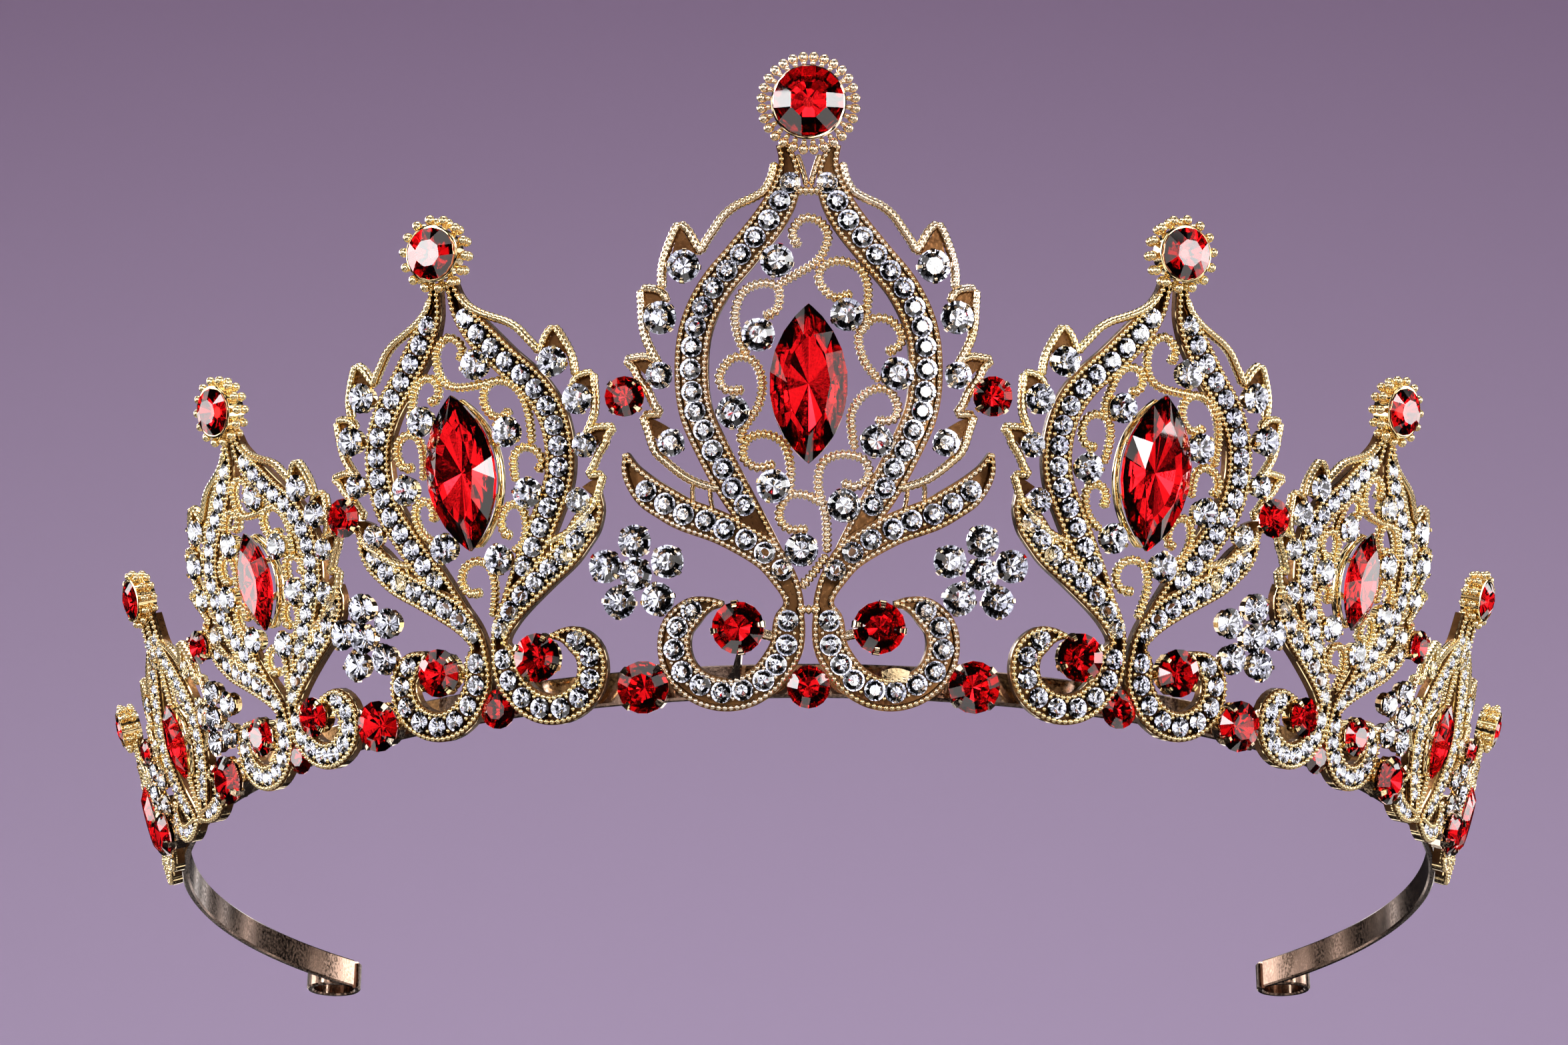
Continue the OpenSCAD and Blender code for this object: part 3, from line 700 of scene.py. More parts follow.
FRONT_TABS = [
    [(-6.8, 2.8, 1.4), (-6.6, 3.6, 0.8), (-6.3, 5.4, 0.4)],
    [(6.7, 3.1, 1.1), (7.9, 3.3, 1.3), (9.1, 3.1, 1.1)],
]
NECK_WIRES = [[(0.2, 48.9), (0.5, 50.2), (1.05, 51.9)]]
BRIDGES = [[(-1.6, 48.5), (1.6, 48.5)], [(-1.2, 9.4), (1.2, 9.4)]]


def vine_lines(k):
    return FRONT_VINES if k == 0 else SMALL_VINES if k >= FIRST_SMALL else SIDE_VINES


def border_lines(k):
    return LEAF_BORDER if k == 0 else SMALL_LEAF_BORDER if k >= FIRST_SMALL else SIDE_LEAF_BORDER


def wire(points, width, rib_depth, lift=0.0, bulb=0.0):
    """A cast wire, deeper than it is wide, ribbed across its top."""
    line = even_line(points, RIB_PITCH / 4, whole=4)
    ribs = np.tile([1 - rib_depth, 1 - rib_depth / 3, 1, 1 - rib_depth / 3], len(line) // 4 + 1)
    ribs = ribs[: len(line)]
    run = np.arange(len(line)) * RIB_PITCH / 4
    swell = 1 + bulb * np.exp(-((run - BULB_AT) / BULB_LENGTH) ** 2)
    ends = rounded_ends(line, width * 0.5)
    ring = ring_of(10, math.pi / 10)
    sections = np.empty((len(line), 10, 2))
    sections[:, :, 0] = ring[None, :, 0] * (width / 2 * ribs * swell * ends)[:, None]
    top = ring[None, :, 1] * (WIRE_HALF_DEPTH * np.sqrt(ribs) * swell * ends)[:, None]
    sections[:, :, 1] = WIRE_OUT + lift + top
    return swept(line, sections)


def web(line, low=0.2, high=0.85):
    """A flat floor between two wires."""
    line = even_line(line, 0.3)
    half = line[:, 2] / 2
    level = np.ones_like(half)
    low, high = low * level, high * level
    corners = [(half, low), (half, high), (-half, high), (-half, low)]
    return swept(line, np.stack([np.column_stack(c) for c in corners], axis=1))


def oval_up(k):
    """How high the middle of a casting's oval stone is."""
    return (SMALL_OVAL_UP if k >= FIRST_SMALL else OVAL_UP) * CASTING_SIZE[k] + FOOT_RISE[k]


def gallery(k):
    """The rim that carries a casting's oval stone, and the two bars behind it, in mm."""
    length, width, up = OVAL_L[k], OVAL_W[k], oval_up(k)
    bend_r = (length**2 + width**2) / (4 * width)
    half = [
        ((math.sqrt(bend_r**2 - y * y) - bend_r + width / 2) * 0.9, up + y * 0.94, RIM_W)
        for y in np.linspace(-length / 2, length / 2, 15)
    ]
    bars = [
        [(-0.42 * width, up + y, BAR_W), (0, up + y * 1.1, BAR_W), (0.42 * width, up + y, BAR_W)]
        for y in (-0.17 * length, 0.17 * length)
    ]
    return [half, mirrored(half), *bars]


for name, k, turn in CASTINGS:
    width = WIRE_W * thin(k)
    for line in gallery(k):
        works[name].add(wire(line, line[0][2], 0, lift=GALLERY_LIFT), BRIGHT)
    for line in vine_lines(k):
        works[name].add(wire(drawn(line, k), width, RIB_DEPTH, bulb=0.25), BRIGHT)
    for half in (list, mirrored):
        for line in border_lines(k):
            line = drawn(half(line), k)
            share = BORDER_SHARE * line[0][2] / width
            works[name].add(wire(line, width * share, BORDER_RIBS, lift=0.1), BRIGHT)
        if k < FIRST_SMALL:
            for line in LEAF_WEBS:
                # The webs between the leaf wires take the dark floor gold, painted shade.
                works[name].add(web(drawn(half(line), k)), SHADED_FLOOR)
        if k == 0:
            for line in NECK_WIRES:
                line = drawn(half(line), k)
                works[name].add(wire(line, width * NECK_SHARE, 0.1, lift=0.15), BRIGHT)
    if k < FIRST_SMALL:
        for line in STONE_TABS:
            works[name].add(wire(drawn(line, k), width, 0.05, lift=-0.1), BRIGHT)
    if k == 0:
        for line in BRIDGES:
            works[name].add(wire(drawn(line, k), width, RIB_DEPTH), BRIGHT)
        for line in FRONT_TABS:
            works[name].add(web(line, 0.3, 1.5), BRIGHT)

# ------------------------------
# Cups: behind each of the larger stones stands a little cup with four claws
# that are bent over its edge. One is modelled for a stone 1 mm across, and
# copied to every place at its size.
# ------------------------------
CUP_SIDES = 16
CUP_R = 0.36
CUP_H = 0.24
CUP_FLARE = 1.25
CLAW_SIZE = (0.09, 0.13, 0.2)
CLAW_AT_R = 0.475
CLAW_BEND = 0.07


def turn_faces_out():
    """Turns every face of the piece in edit mode outwards, and leaves edit mode."""
    bpy.ops.mesh.select_all(action="SELECT")
    bpy.ops.mesh.normals_make_consistent(inside=False)
    bpy.ops.object.mode_set(mode="OBJECT")


def stamp(target, master, matrix):
    """Adds a copy of a modelled piece to a mesh that is being collected."""
    copy = master.data.copy()
    copy.transform(matrix)
    target.from_mesh(copy)
    bpy.data.meshes.remove(copy)


bpy.ops.mesh.primitive_cylinder_add(
    vertices=CUP_SIDES, radius=CUP_R, depth=CUP_H, location=(0, 0, -0.32)
)
cup = bpy.context.object
cup.name = "claw_cup"
bpy.ops.object.transform_apply(location=True, rotation=False, scale=False)
bpy.ops.object.mode_set(mode="EDIT")
pick("FACE", lambda f: f.normal.z > 0.9)
extrude(0.1)
bpy.ops.transform.resize(value=(CUP_FLARE, CUP_FLARE, 1), center_override=(0, 0, 0))
bpy.ops.mesh.inset(thickness=0.04, depth=0)
extrude(-0.26)
bpy.ops.object.mode_set(mode="OBJECT")
claws = []
for quarter in range(4):
    angle = math.radians(45 + 90 * quarter)
    at = (CLAW_AT_R * math.cos(angle), CLAW_AT_R * math.sin(angle), -0.02)
    bpy.ops.mesh.primitive_cube_add(size=1, location=at, rotation=(0, 0, angle))
    claw = bpy.context.object
    claw.scale = CLAW_SIZE
    bpy.ops.object.transform_apply(location=False, rotation=False, scale=True)
    bpy.ops.object.mode_set(mode="EDIT")
    pick("FACE", lambda f: f.normal.z > 0.9)
    extrude(CLAW_BEND)
    inward = (-CLAW_BEND * math.cos(angle), -CLAW_BEND * math.sin(angle), 0)
    bpy.ops.transform.translate(value=inward)
    bpy.ops.transform.resize(value=(0.6, 0.6, 0.6))
    bpy.ops.object.mode_set(mode="OBJECT")
    bpy.ops.object.transform_apply(location=True, rotation=True, scale=True)
    claws.append(claw)
for piece in [*claws, cup]:
    piece.select_set(True)
bpy.context.view_layer.objects.active = cup
bpy.ops.object.join()
bpy.ops.object.mode_set(mode="EDIT")
turn_faces_out()
cup.hide_render = True

VINE_STONE_D = 3.15
LEAF_STONE_D = 2.6
VOLUTE_STONE_D = [4.9, 4.6, 3.9]
VOLUTE_STONE_AT = (6.35, 7.7)
GIRDLE_SHARE = 0.26
STONE_OUT = 0.9
FRONT_VINE_STONES = [
    (-2.9, 41.8), (-4.6, 34.9), (-6.9, 27.7), (-3.2, 20.8), (3.5, 36.8), (8.1, 31.3),
    (6.2, 25), (3.2, 19), (-0.65, 14.9),
]
SIDE_VINE_STONES = [
    (2.8, 42.6), (-4.4, 37.2), (-7.4, 29.6), (-3.7, 22), (5.4, 34.2), (7, 26.8), (2.8, 19.7),
]
SMALL_VINE_STONES = [(0, 43.5)]
LEAF_STONES = [
    (11.5, 41.4, VINE_STONE_D), (13.65, 36.6, VINE_STONE_D), (13.75, 31.2, LEAF_STONE_D),
    (12.6, 24.9, LEAF_STONE_D),
]
SMALL_LEAF_STONES = [(14.6, 36, LEAF_STONE_D), (17.2, 26, LEAF_STONE_D)]


def clear_stone_places(k):
    """Across, up and diameter of each clear stone outside the channels of casting k."""
    small = k >= FIRST_SMALL
    vines = FRONT_VINE_STONES if k == 0 else SMALL_VINE_STONES if small else SIDE_VINE_STONES
    leaves = SMALL_LEAF_STONES if small else LEAF_STONES
    stones = [(u, v, VINE_STONE_D) for u, v in vines]
    stones += [(half * u, v, d) for u, v, d in leaves for half in (1, -1)]
    return drawn(stones, k)


def volute_stone_places(k):
    u, v = VOLUTE_STONE_AT
    return [
        (half * u * CASTING_SIZE[k], v * CASTING_SIZE[k] + FOOT_RISE[k], VOLUTE_STONE_D[k])
        for half in (1, -1)
    ]


# ------------------------------
# Grains: in every gap between two stones of a channel, two small grains of metal
# are raised from the floor and pushed over the stones' edges.
# ------------------------------
GRAIN_R = 0.24
GRAIN_OUT = 1.35
GRAIN_ASIDE = 0.34
PAVE_D = [2.02, 1.9, 1.68, 1.5, 1.22]
PAVE_GAP = 0.06
# How far from each end of its channel a row stops, and where the neck breaks it.
DROP_ENDS = (4.8, 7.4)
ARM_ENDS = (3.8, 3.4)
ARM_NECK_UP = (11.8, 8.4)
SMALL_DROP_END = 6
SMALL_ARM_END = 5
CHANNEL_STONE_OUT = 0.95
FRONT_DROP_STONES = [
    (1.7, 49.1), (2.65, 47.4), (3.65, 45.6), (4.95, 44), (6.25, 42.4), (7.5, 40.9),
    (8.75, 39.3), (9.75, 37.5), (10.4, 35.7), (10.75, 33.8), (10.85, 31.7), (10.7, 29.6),
    (10.4, 27.8), (9.6, 26), (8.8, 24.1), (7.8, 22.4), (6.95, 20.6), (5.85, 19),
]
FRONT_ARM_STONES = [
    (14.95, 20.4), (13.2, 19.2), (11.45, 18.2), (9.4, 17.6), (7.7, 16.8), (5.7, 15.85),
    (4, 14.6), (2.4, 13),
]
FRONT_VOLUTE_STONES = [
    (1.9, 8.3), (2, 6.05), (2.95, 4.25), (4.1, 2.8), (6, 1.9), (7.9, 1.7), (9.85, 2.4),
    (11.55, 3.6), (12.3, 5.65), (12, 7.7), (10.7, 9.3),
]


def spaced(line, pitch, start, stop):
    """Places at an even pitch along a channel, from one distance along it to another."""
    run = distance_along(line)
    stop = run[-1] + stop if stop < 0 else stop
    at = np.linspace(start, stop, round((stop - start) / pitch) + 1)
    return [(np.interp(s, run, line[:, 0]), np.interp(s, run, line[:, 1])) for s in at]


def channel_rows(k):
    """The rows of stones in the right half of casting k."""
    if k == 0:
        return [FRONT_DROP_STONES, FRONT_ARM_STONES, FRONT_VOLUTE_STONES]
    drop, arm = (even_line(line, 0.2) for line in channel_lines(k))
    pitch, size = PAVE_D[k] + PAVE_GAP, CASTING_SIZE[k]
    if k >= FIRST_SMALL:
        ends = ((drop, SMALL_DROP_END * size), (arm, SMALL_ARM_END * size))
        return [spaced(line, pitch, end, -end) for line, end in ends]
    run = distance_along(arm)
    neck, turn = (run[np.argmax(arm[:, 1] < up * size + FOOT_RISE[k])] for up in ARM_NECK_UP)
    return [
        spaced(drop, pitch, DROP_ENDS[0] * size, -DROP_ENDS[1] * size),
        spaced(arm, pitch, ARM_ENDS[0] * size, neck),
        spaced(arm, pitch, turn, -ARM_ENDS[1] * size),
    ]


def grain_places(k):
    """The middle of each gap of the right half, and how far its two grains lie aside."""
    found = []
    for row in channel_rows(k):
        for (u0, v0), (u1, v1) in zip(row[:-1], row[1:]):
            gap = math.hypot(u1 - u0, v1 - v0)
            aside = GRAIN_ASIDE * PAVE_D[k] / gap
            found.append(((u0 + u1) / 2, (v0 + v1) / 2, (v0 - v1) * aside, (u1 - u0) * aside))
    return found


bpy.ops.mesh.primitive_ico_sphere_add(subdivisions=1, radius=1, location=(0, 0, 0))
grain_ball = bpy.context.object
grain_ball.name = "grain"
grain_ball.hide_render = True

# ------------------------------
# Finials: on top of each casting a round stone stands in a turned collar with
# prongs round it: close beads at the front, and stalks with balls at the sides.
# Here each casting, its cups and grains and its finial become one plated piece.
# ------------------------------
FINIAL_STONE_D = [6.7, 5, 4.7, 4, 3.4]
FINIAL_D = [9.8, 7.6, 7.2, 6.2, 5.4]
FINIAL_PRONGS = [28, 14, 14, 13, 12]
PRONG_OUT = 1.5
COLLAR_GAP = [0.18, 0.26, 0.26, 0.26, 0.26]
COLLAR_OUT = 0.3
COLLAR_H = 2.1
SIDE_BALL_R = 0.56
STALK_R = 0.3
STALK_LEAN = math.radians(68)
# How far inside the tip, how long, how wide and how far out each front bead is.
FRONT_BEADS = [(0, 0.56, 0.48, 1.7), (0.6, 0.3, 0.26, 2.0)]
# The share of the way to the tip, and how far out, of each ball of a side prong.
SIDE_BALLS = [(1, PRONG_OUT + 0.35), (0.94, PRONG_OUT - 0.7)]
FACES_HEAD = -0.3
SMOOTH_UNDER = math.radians(50)
TIP_UP = 51.8
FINIAL_LAP = 0.1
FINIAL_STONE_OUT = 1.3
CUP_SPIN = 20

bpy.ops.mesh.primitive_ico_sphere_add(subdivisions=2, radius=1, location=(0, 0, 0))
ball = bpy.context.object
ball.name = "prong_ball"
ball.hide_render = True

bpy.ops.mesh.primitive_cone_add(vertices=8, radius1=1, radius2=0.62, depth=1, location=(0, 0, 0.5))
stalk = bpy.context.object
stalk.name = "prong_stalk"
bpy.ops.object.transform_apply(location=True, rotation=False, scale=False)
bpy.ops.object.mode_set(mode="EDIT")
pick("FACE", lambda f: f.normal.z > 0.9)
bpy.ops.mesh.bevel(offset=0.2, segments=2)
bpy.ops.object.mode_set(mode="OBJECT")
stalk.hide_render = True

# The collar is turned: a tube with a bead round its lip and a narrower seat inside.
bpy.ops.mesh.primitive_cylinder_add(vertices=40, radius=1, depth=1, location=(0, 0, 0.5))
collar = bpy.context.object
collar.name = "finial_collar"
bpy.ops.object.transform_apply(location=True, rotation=False, scale=False)
bpy.ops.object.mode_set(mode="EDIT")
pick("FACE", lambda f: f.normal.z > 0.9)
bpy.ops.mesh.inset(thickness=0.06, depth=0.03)
bpy.ops.mesh.inset(thickness=0.05, depth=0)
bpy.ops.mesh.inset(thickness=0.02, depth=-0.5)
pick("FACE", lambda f: f.normal.z < -0.9)
bpy.ops.transform.resize(value=(0.86, 0.86, 1), center_override=(0, 0, 0))
bpy.ops.object.mode_set(mode="OBJECT")
collar.hide_render = True


def finial_up(k):
    return TIP_UP * CASTING_SIZE[k] + FOOT_RISE[k] + FINIAL_D[k] / 2 - FINIAL_LAP


def mm_scale(x, y, z):
    return Matrix.Diagonal((x, y, z, 1))


for name, k, turn in CASTINGS:
    work = works[name]
    mesh = bpy.data.meshes.new(f"casting_{name}")
    flat = np.vstack(work.verts)
    mesh.from_pydata(laid_on_cone(flat, turn).tolist(), [], work.faces)
    mesh.polygons.foreach_set("material_index", work.metals)
    whole = bmesh.new()
    whole.from_mesh(mesh)
    for u, v, d in clear_stone_places(k) + (volute_stone_places(k) if k < FIRST_SMALL else []):
        stamp(whole, cup, seat_on_cone(u, v, STONE_OUT + GIRDLE_SHARE * d, turn, CUP_SPIN * u, d))
    for u, v, across, up in grain_places(k):
        for half in (1, -1):
            at = seat_on_cone(half * u, v, GRAIN_OUT, turn)
            aside = Matrix.Translation((half * across, up, 0))
            for shift in (aside, aside.inverted()):
                stamp(whole, grain_ball, at @ shift @ mm_scale(GRAIN_R, GRAIN_R, GRAIN_R))
    outer, stone_r = FINIAL_D[k] / 2, FINIAL_STONE_D[k] / 2
    seat = seat_on_cone(0, finial_up(k), 0, turn)
    collar_r = stone_r + COLLAR_GAP[k]
    low = Matrix.Translation((0, 0, COLLAR_OUT))
    stamp(whole, collar, seat @ low @ mm_scale(collar_r, collar_r, COLLAR_H))
    prongs = FINIAL_PRONGS[k]
    ball_r = SIDE_BALL_R * thin(k)
    tip = outer - ball_r
    lean = Matrix.Rotation(STALK_LEAN, 4, "Y")
    for i in range(prongs):
        turned = Matrix.Rotation(2 * math.pi * (i + 0.5) / prongs, 4, "Z")
        if k == 0:
            for inside, long, wide, out in FRONT_BEADS:
                end = turned @ Matrix.Translation((tip - inside, 0, out))
                stamp(whole, ball, seat @ end @ mm_scale(long, wide, wide))
            continue
        root = turned @ Matrix.Translation((collar_r - 0.3, 0, PRONG_OUT - 0.3))
        stamp(whole, stalk, seat @ root @ lean @ mm_scale(STALK_R, STALK_R, tip - collar_r + 0.4))
        for share, out in SIDE_BALLS:
            end = turned @ Matrix.Translation((tip * share, 0, out))
            stamp(whole, ball, seat @ end @ mm_scale(ball_r, ball_r * 0.94, ball_r))
    whole.to_mesh(mesh)
    whole.free()
    casting = bpy.data.objects.new(f"plated_casting_{name}", mesh)
    bpy.context.scene.collection.objects.link(casting)
    bpy.ops.object.select_all(action="DESELECT")
    casting.select_set(True)
    bpy.context.view_layer.objects.active = casting
    # The front casting takes the pale gold; the side castings take the warmer gold, which is
    # painted light for the side lamps.
    mesh.materials.append(bright_gold if k == 0 else side_lit_gold)
    # The second slot is the dark floor gold, painted shade for the channels.
    mesh.materials.append(floor_shade_gold)
    bpy.ops.object.mode_set(mode="EDIT")
    turn_faces_out()
    # Faces turned towards the head go back to the bright gold, so the painted shade stays on the
    # outer faces.
    for face in mesh.polygons:
        away = Vector((face.center.x, face.center.y - CENTRE_Y / 1000, 0)).normalized()
        if face.normal.dot(away) < FACES_HEAD:
            face.material_index = BRIGHT
    bpy.ops.object.shade_smooth_by_angle(angle=SMOOTH_UNDER)
    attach(casting, "root")
    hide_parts(f"casting_{name}")

# ------------------------------
# Cut stones: moulded glass with a flat eight-sided table, sixteen facets round
# it and a pointed back that is silvered like a mirror. One is modelled 1 mm
# across, with its girdle at the origin.
# ------------------------------
GIRDLE_T = 0.03
CROWN_H = 0.13
PAVILION_H = 0.27
TABLE_SHARE = 0.54


def pick_alternate_table_edges(height):
    """Selects every other edge round the table of the stone in edit mode."""
    step = 2 * math.pi / 16

    def chosen(edge):
        if any(abs(v.co.z - height) > 1e-5 for v in edge.verts):
            return False
        middle = (edge.verts[0].co + edge.verts[1].co) / 2
        return round(math.atan2(middle.y, middle.x) / step - 0.5) % 2 == 0

    pick("EDGE", chosen)


bpy.ops.mesh.primitive_cylinder_add(vertices=16, radius=0.5, depth=GIRDLE_T, location=(0, 0, 0))
round_stone = bpy.context.object
round_stone.name = "round_stone"
bpy.ops.object.mode_set(mode="EDIT")
pick("FACE", lambda f: f.normal.z > 0.9)
extrude(CROWN_H)
bpy.ops.transform.resize(value=(TABLE_SHARE, TABLE_SHARE, 1), center_override=(0, 0, 0))
pick_alternate_table_edges(GIRDLE_T / 2 + CROWN_H)
bpy.ops.mesh.merge(type="COLLAPSE")
pick("FACE", lambda f: f.normal.z < -0.9)
extrude(-PAVILION_H)
bpy.ops.mesh.merge(type="CENTER")
turn_faces_out()
for face in round_stone.data.polygons:
    face.material_index = 1 if face.normal.z < 0.1 else 0
round_stone.hide_render = True

GLASS_IOR = 1.6


def glass(name, colour):
    """Cut glass of one colour, faintly uneven as moulded stones are."""
    clear = bpy.data.materials.new(name)
    clear.use_nodes = True
    nodes = clear.node_tree.nodes
    shader = nodes["Principled BSDF"]
    shader.inputs["Transmission Weight"].default_value = 1
    shader.inputs["IOR"].default_value = GLASS_IOR
    place = shader_node(nodes, "TexCoord")
    haze = shader_node(nodes, "TexNoise", Scale=900)
    duller = [c * 0.86 for c in colour[:3]] + [1]
    tint = colour_mix(nodes, A=colour, B=duller)
    rough = shader_node(nodes, "MapRange", To_Min=0.0, To_Max=0.03)
    join_nodes(
        clear.node_tree.links,
        (place, "Object", haze, "Vector"),
        (haze, "Fac", tint, "Factor"),
        (haze, "Fac", rough, "Value"),
        (tint, "Result", shader, "Base Color"),
        (rough, "Result", shader, "Roughness"),
    )
    return clear


clear_glass = glass("clear_glass", (0.97, 0.97, 1, 1))
red_glass = glass("red_glass", (0.80, 0.015, 0.025, 1))
silvering = plated("silvered_back", (0.9, 0.9, 0.93, 1), (0.78, 0.78, 0.84, 1), 0.02, 0.08, 0.00001)
red_silvering = plated("red_back", (0.75, 0.35, 0.33, 1), (0.6, 0.2, 0.2, 1), 0.02, 0.08, 0.00001)


CLEAR = (clear_glass, silvering, "clear_glass")
RED = (red_glass, red_silvering, "red_glass")


def set_stones(name, places, master, kind, node):
    """Copies of one stone at many places, as one piece that stands for a CAD node."""
    front, backing, slot = kind
    collected = bmesh.new()
    for matrix in places:
        stamp(collected, master, matrix)
    mesh = bpy.data.meshes.new(name)
    collected.to_mesh(mesh)
    collected.free()
    mesh.materials.append(front)
    mesh.materials.append(backing)
    stones = bpy.data.objects.new(name, mesh)
    bpy.context.scene.collection.objects.link(stones)
    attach(stones, "root")
    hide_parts(node)
    return stones


def stone_seat(u, v, d, turn, out=STONE_OUT, spin=None):
    """Where a round stone of that diameter sits; each is turned its own way."""
    spin = (u * 37 + v * 61) % 45 if spin is None else spin
    return seat_on_cone(u, v, out + GIRDLE_SHARE * d, turn, spin, d)


for name, k, turn in CASTINGS:
    places = [stone_seat(u, v, d, turn) for u, v, d in clear_stone_places(k)]
    set_stones(
        f"clear_stones_{name}", places, round_stone, CLEAR, f"vine_stones_{name}"
    )
    if k < FIRST_SMALL:
        places = [stone_seat(u, v, d, turn) for u, v, d in volute_stone_places(k)]
        set_stones(
            f"red_volute_stones_{name}", places, round_stone, RED, f"volute_stones_{name}"
        )
    place = stone_seat(
        0, finial_up(k), FINIAL_STONE_D[k], turn, out=FINIAL_STONE_OUT, spin=11.25
    )
    set_stones(
        f"red_finial_stone_{name}", [place], round_stone, RED, f"finial_stone_{name}"
    )

# ------------------------------
# Channel stones: small clear stones of the same cut, set edge to edge along the
# floor of each channel and held there by the grains.
# ------------------------------
for name, k, turn in CASTINGS:
    places = [
        stone_seat(half * u, v, PAVE_D[k], turn, out=CHANNEL_STONE_OUT)
        for row in channel_rows(k) for half in (1, -1) for u, v in row
    ]
    set_stones(
        f"clear_channel_stones_{name}", places, round_stone, CLEAR, f"channel_stones_{name}"
    )

# ------------------------------
# Ovals: the pointed red stone in the middle of each casting, moulded glass with
# a long many-sided table and a pointed, silvered back. It sits in the gallery.
# ------------------------------
OVAL_SIDES = 22
OVAL_PLAY = 0.1


def oval_stone(length, width):
    """A pointed oval stone, in mm, shaped from a straight-sided drum."""
    bpy.ops.mesh.primitive_cylinder_add(
        vertices=OVAL_SIDES, radius=1, depth=width * 0.06, location=(0, 0, 0)
    )
    stone = bpy.context.object
    bend_r = (length**2 + width**2) / (4 * width)
    for vertex in stone.data.vertices:
        angle = math.atan2(vertex.co.x, vertex.co.y)
        y = math.cos(angle) * length / 2
        x = math.sqrt(max(bend_r**2 - y * y, 0)) - bend_r + width / 2
        vertex.co.x, vertex.co.y = math.copysign(max(x, 0), math.sin(angle)), y
    bpy.ops.object.mode_set(mode="EDIT")
    bpy.ops.mesh.select_all(action="SELECT")
    bpy.ops.mesh.remove_doubles(threshold=0.001)
    pick("FACE", lambda f: f.normal.z > 0.9)
    extrude(width * 0.17)
    bpy.ops.transform.resize(value=(0.56, 0.66, 1), center_override=(0, 0, 0))
    top = width * 0.2
    rim = sorted(
        (v.co.y, v.co.x) for v in bmesh.from_edit_mesh(stone.data).verts if v.co.z > top - 0.001
    )
    heights = sorted({round(y, 4) for y, x in rim})

    def paired(edge):
        """Every other edge round the table, so that two and two corners of a side become one."""
        if any(v.co.z < top - 0.001 for v in edge.verts):
            return False
        steps = sorted(heights.index(round(v.co.y, 4)) for v in edge.verts)
        return steps[0] % 2 == 1 and steps[1] == steps[0] + 1

    pick("EDGE", paired)
    bpy.ops.mesh.merge(type="COLLAPSE")
    pick("FACE", lambda f: f.normal.z < -0.9)
    extrude(-width * 0.1)
    bpy.ops.transform.resize(value=(0.55, 0.6, 1), center_override=(0, 0, 0))
    extrude(-width * 0.06)
    bpy.ops.mesh.merge(type="CENTER")
    turn_faces_out()
    for face in stone.data.polygons:
        face.material_index = 1 if face.normal.z < -0.1 else 0
    stone.hide_render = True
    return stone


for name, k, turn in CASTINGS:
    master = oval_stone(OVAL_L[k] - OVAL_PLAY, OVAL_W[k] - OVAL_PLAY)
    place = seat_on_cone(0, oval_up(k), FLOOR_OUT + 0.2 * OVAL_W[k], turn)
    set_stones(
        f"red_oval_stone_{name}", [place], master, RED, f"oval_stone_{name}"
    )
    bpy.data.objects.remove(master)

# ------------------------------
# Between the castings: a flower of six clear stones in cups soldered edge to
# edge, a red stone low by the band and a smaller red one high between leaves.
# ------------------------------
CASTING_TURNS = [0, 25, 46, 64, 79]
PETALS = 5
MIDDLE_PROUD = 0.5
FLOWER_UP = [13.2, 11.2, 9, 7]
FLOWER_SIZE = [1, 0.95, 0.85, 0.75]
FLOWER_RING = 3.05
LOW_LINK_UP = 2.7
LOW_LINK_D = 4.9
HIGH_LINK_UP = [29.8, 23, 16.5, 11.5]
HIGH_LINK_SIZE = [1, 1, 0.9, 0.8]
HIGH_LINK_D = 3.8
SETTING_T = 1.2
FOOT_STONE_D = 4
FOOT_STONE_UP = 2.2

setting_parts = bmesh.new()
flower_places, low_places, high_places = [], [], []
for link in range(4):
    middle = (CASTING_TURNS[link] + CASTING_TURNS[link + 1]) / 2
    for turn in (middle, -middle):
        size = FLOWER_SIZE[link]
        d = VINE_STONE_D * size
        petals = [(0, 0, MIDDLE_PROUD)] + [
            (FLOWER_RING * size * math.cos(math.radians(72 * i + 18)),
             FLOWER_RING * size * math.sin(math.radians(72 * i + 18)), 0)
            for i in range(PETALS)
        ]
        for u, v, proud in petals:
            up = FLOWER_UP[link] + v
            out = SETTING_T + proud
            flower_places.append(stone_seat(u, up, d, turn, out=out))
            seat = seat_on_cone(u, up, out + GIRDLE_SHARE * d, turn, 30 * u, d)
            stamp(setting_parts, cup, seat)
        low_places.append(stone_seat(0, LOW_LINK_UP, LOW_LINK_D, turn, out=SETTING_T))
        out = SETTING_T + GIRDLE_SHARE * LOW_LINK_D
        stamp(setting_parts, cup, seat_on_cone(0, LOW_LINK_UP, out, turn, 0, LOW_LINK_D))
        d = HIGH_LINK_D * HIGH_LINK_SIZE[link]
        up = HIGH_LINK_UP[link]
        high_places.append(stone_seat(0, up, d, turn, out=SETTING_T))
        stamp(setting_parts, cup, seat_on_cone(0, up, SETTING_T + GIRDLE_SHARE * d, turn, 0, d))
mesh = bpy.data.meshes.new("link_settings")
setting_parts.to_mesh(mesh)
setting_parts.free()
mesh.materials.append(bright_gold)
settings = bpy.data.objects.new("plated_link_settings", mesh)
bpy.context.scene.collection.objects.link(settings)
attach(settings, "root")
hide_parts("link_settings")

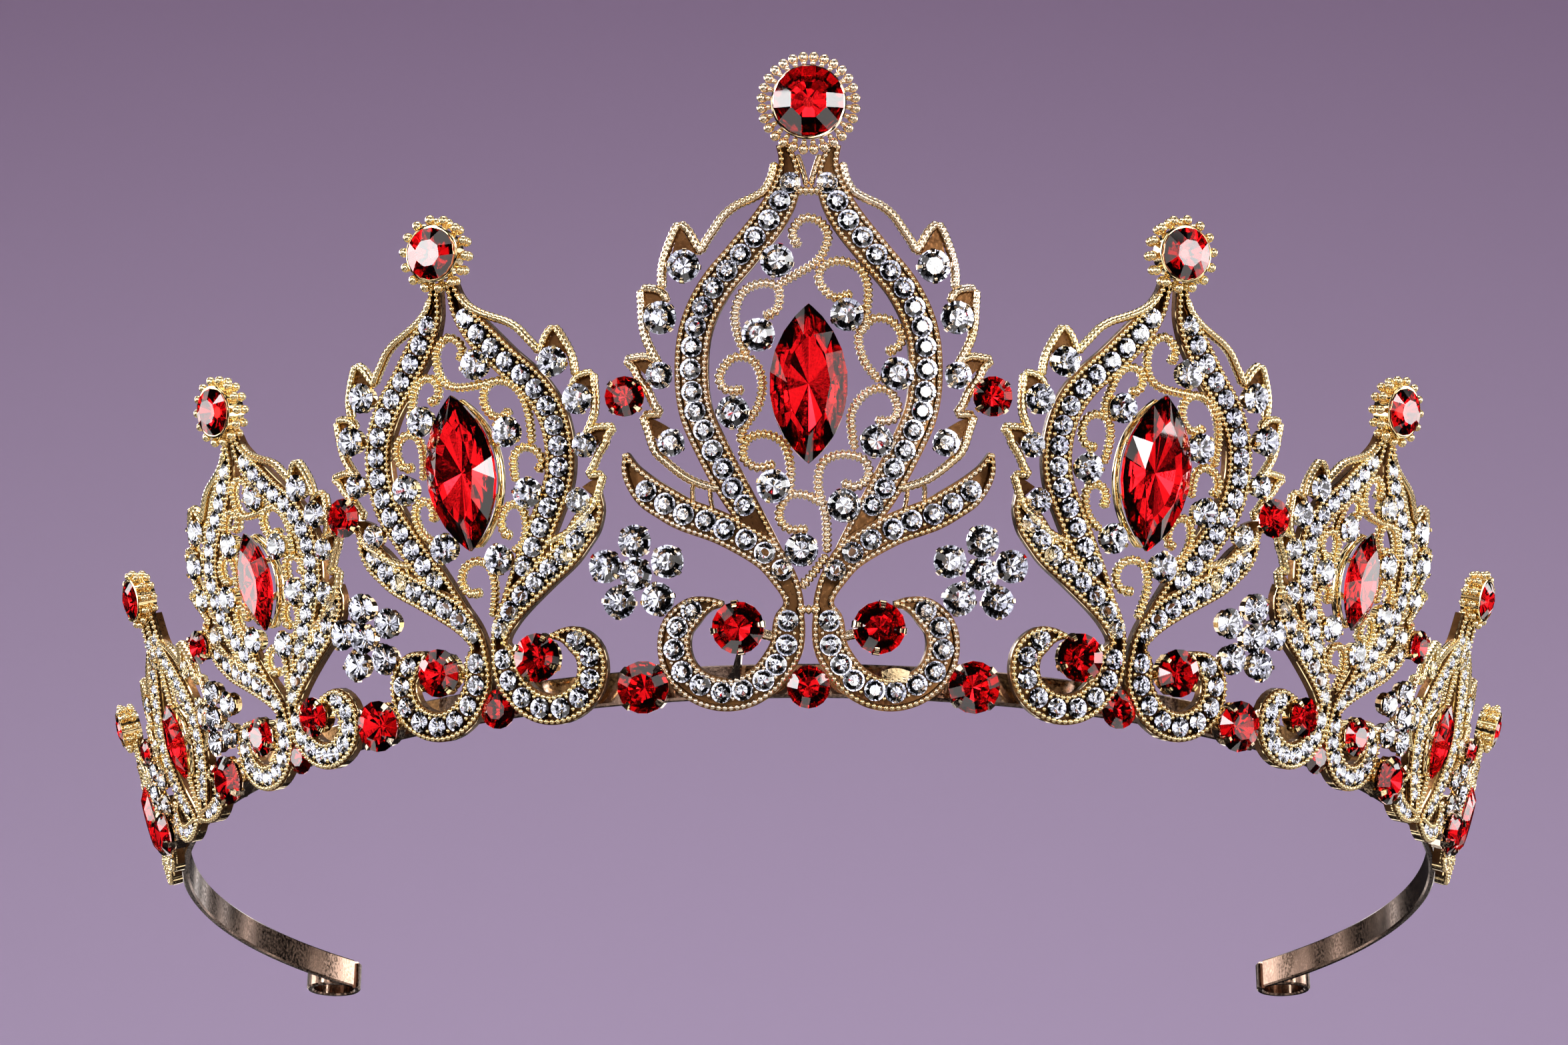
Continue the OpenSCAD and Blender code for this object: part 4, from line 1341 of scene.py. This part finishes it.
set_stones("clear_flower_stones", flower_places, round_stone, CLEAR, "flower_stones")
set_stones("red_low_stones", low_places, round_stone, RED, "low_link_stones")
set_stones("red_high_stones", high_places, round_stone, RED, "high_link_stones")
foot_places = [
    stone_seat(0, FOOT_STONE_UP, FOOT_STONE_D * thin(k), turn, out=0)
    for name, k, turn in CASTINGS if k < FIRST_SMALL
]
set_stones("red_foot_stones", foot_places, round_stone, RED, "foot_stones")

# ------------------------------
# Head band: a thin springy strip bent round the head, copper-brown under worn
# plating. Each end is rolled outward into an upright eye.
# ------------------------------
BAND_H = 3.2
BAND_TURN = math.radians(126)
EYE_R = 2.4
EYE_ROLL = math.radians(345)
BAND_SOFT = 0.18
band_metal = plated("band_metal", (0.30, 0.20, 0.15, 1), (0.14, 0.09, 0.07, 1), 0.1, 0.26, 0.00003)

centre_r = BAND_OUTER_R - BAND_T / 2
eye_r = EYE_R + BAND_T / 2
arc = [
    (centre_r * math.sin(a), -centre_r * math.cos(a))
    for a in np.linspace(-BAND_TURN, BAND_TURN, 181)
]
end = np.array([math.sin(BAND_TURN), -math.cos(BAND_TURN)])
eye_centre = end * (centre_r + eye_r)
roll = []
for a in np.linspace(0, EYE_ROLL, 41)[1:]:
    away = -end
    turned = (
        away[0] * math.cos(a) - away[1] * math.sin(a),
        away[0] * math.sin(a) + away[1] * math.cos(a),
    )
    roll.append(tuple(eye_centre + eye_r * np.array(turned)))
roll_left = [(-x, y) for x, y in roll[::-1]]
band_line = np.array(roll_left + arc + roll)
side = sideways(band_line)
half_t, soft = BAND_T / 2, BAND_SOFT
profile = [
    (half_t, soft), (half_t, BAND_H - soft), (half_t - soft, BAND_H), (-half_t + soft, BAND_H),
    (-half_t, BAND_H - soft), (-half_t, soft), (-half_t + soft, 0), (half_t - soft, 0),
]
sections = np.tile(np.array(profile)[None], (len(band_line), 1, 1))
verts, faces = swept(band_line, sections)
verts[:, 1] += CENTRE_Y
verts[:, 2] += band_low.z * 1000
mesh = bpy.data.meshes.new("head_band")
mesh.from_pydata((verts / 1000).tolist(), [], faces)
mesh.materials.append(band_metal)
band = bpy.data.objects.new("rolled_head_band", mesh)
bpy.context.scene.collection.objects.link(band)
bpy.ops.object.select_all(action="DESELECT")
band.select_set(True)
bpy.context.view_layer.objects.active = band
bpy.ops.object.mode_set(mode="EDIT")
turn_faces_out()
bpy.ops.object.shade_smooth_by_angle(angle=math.radians(40))
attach(band, "root")
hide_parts("head_band")

for master in (cup, grain_ball, ball, stalk, collar, round_stone):
    bpy.data.objects.remove(master)
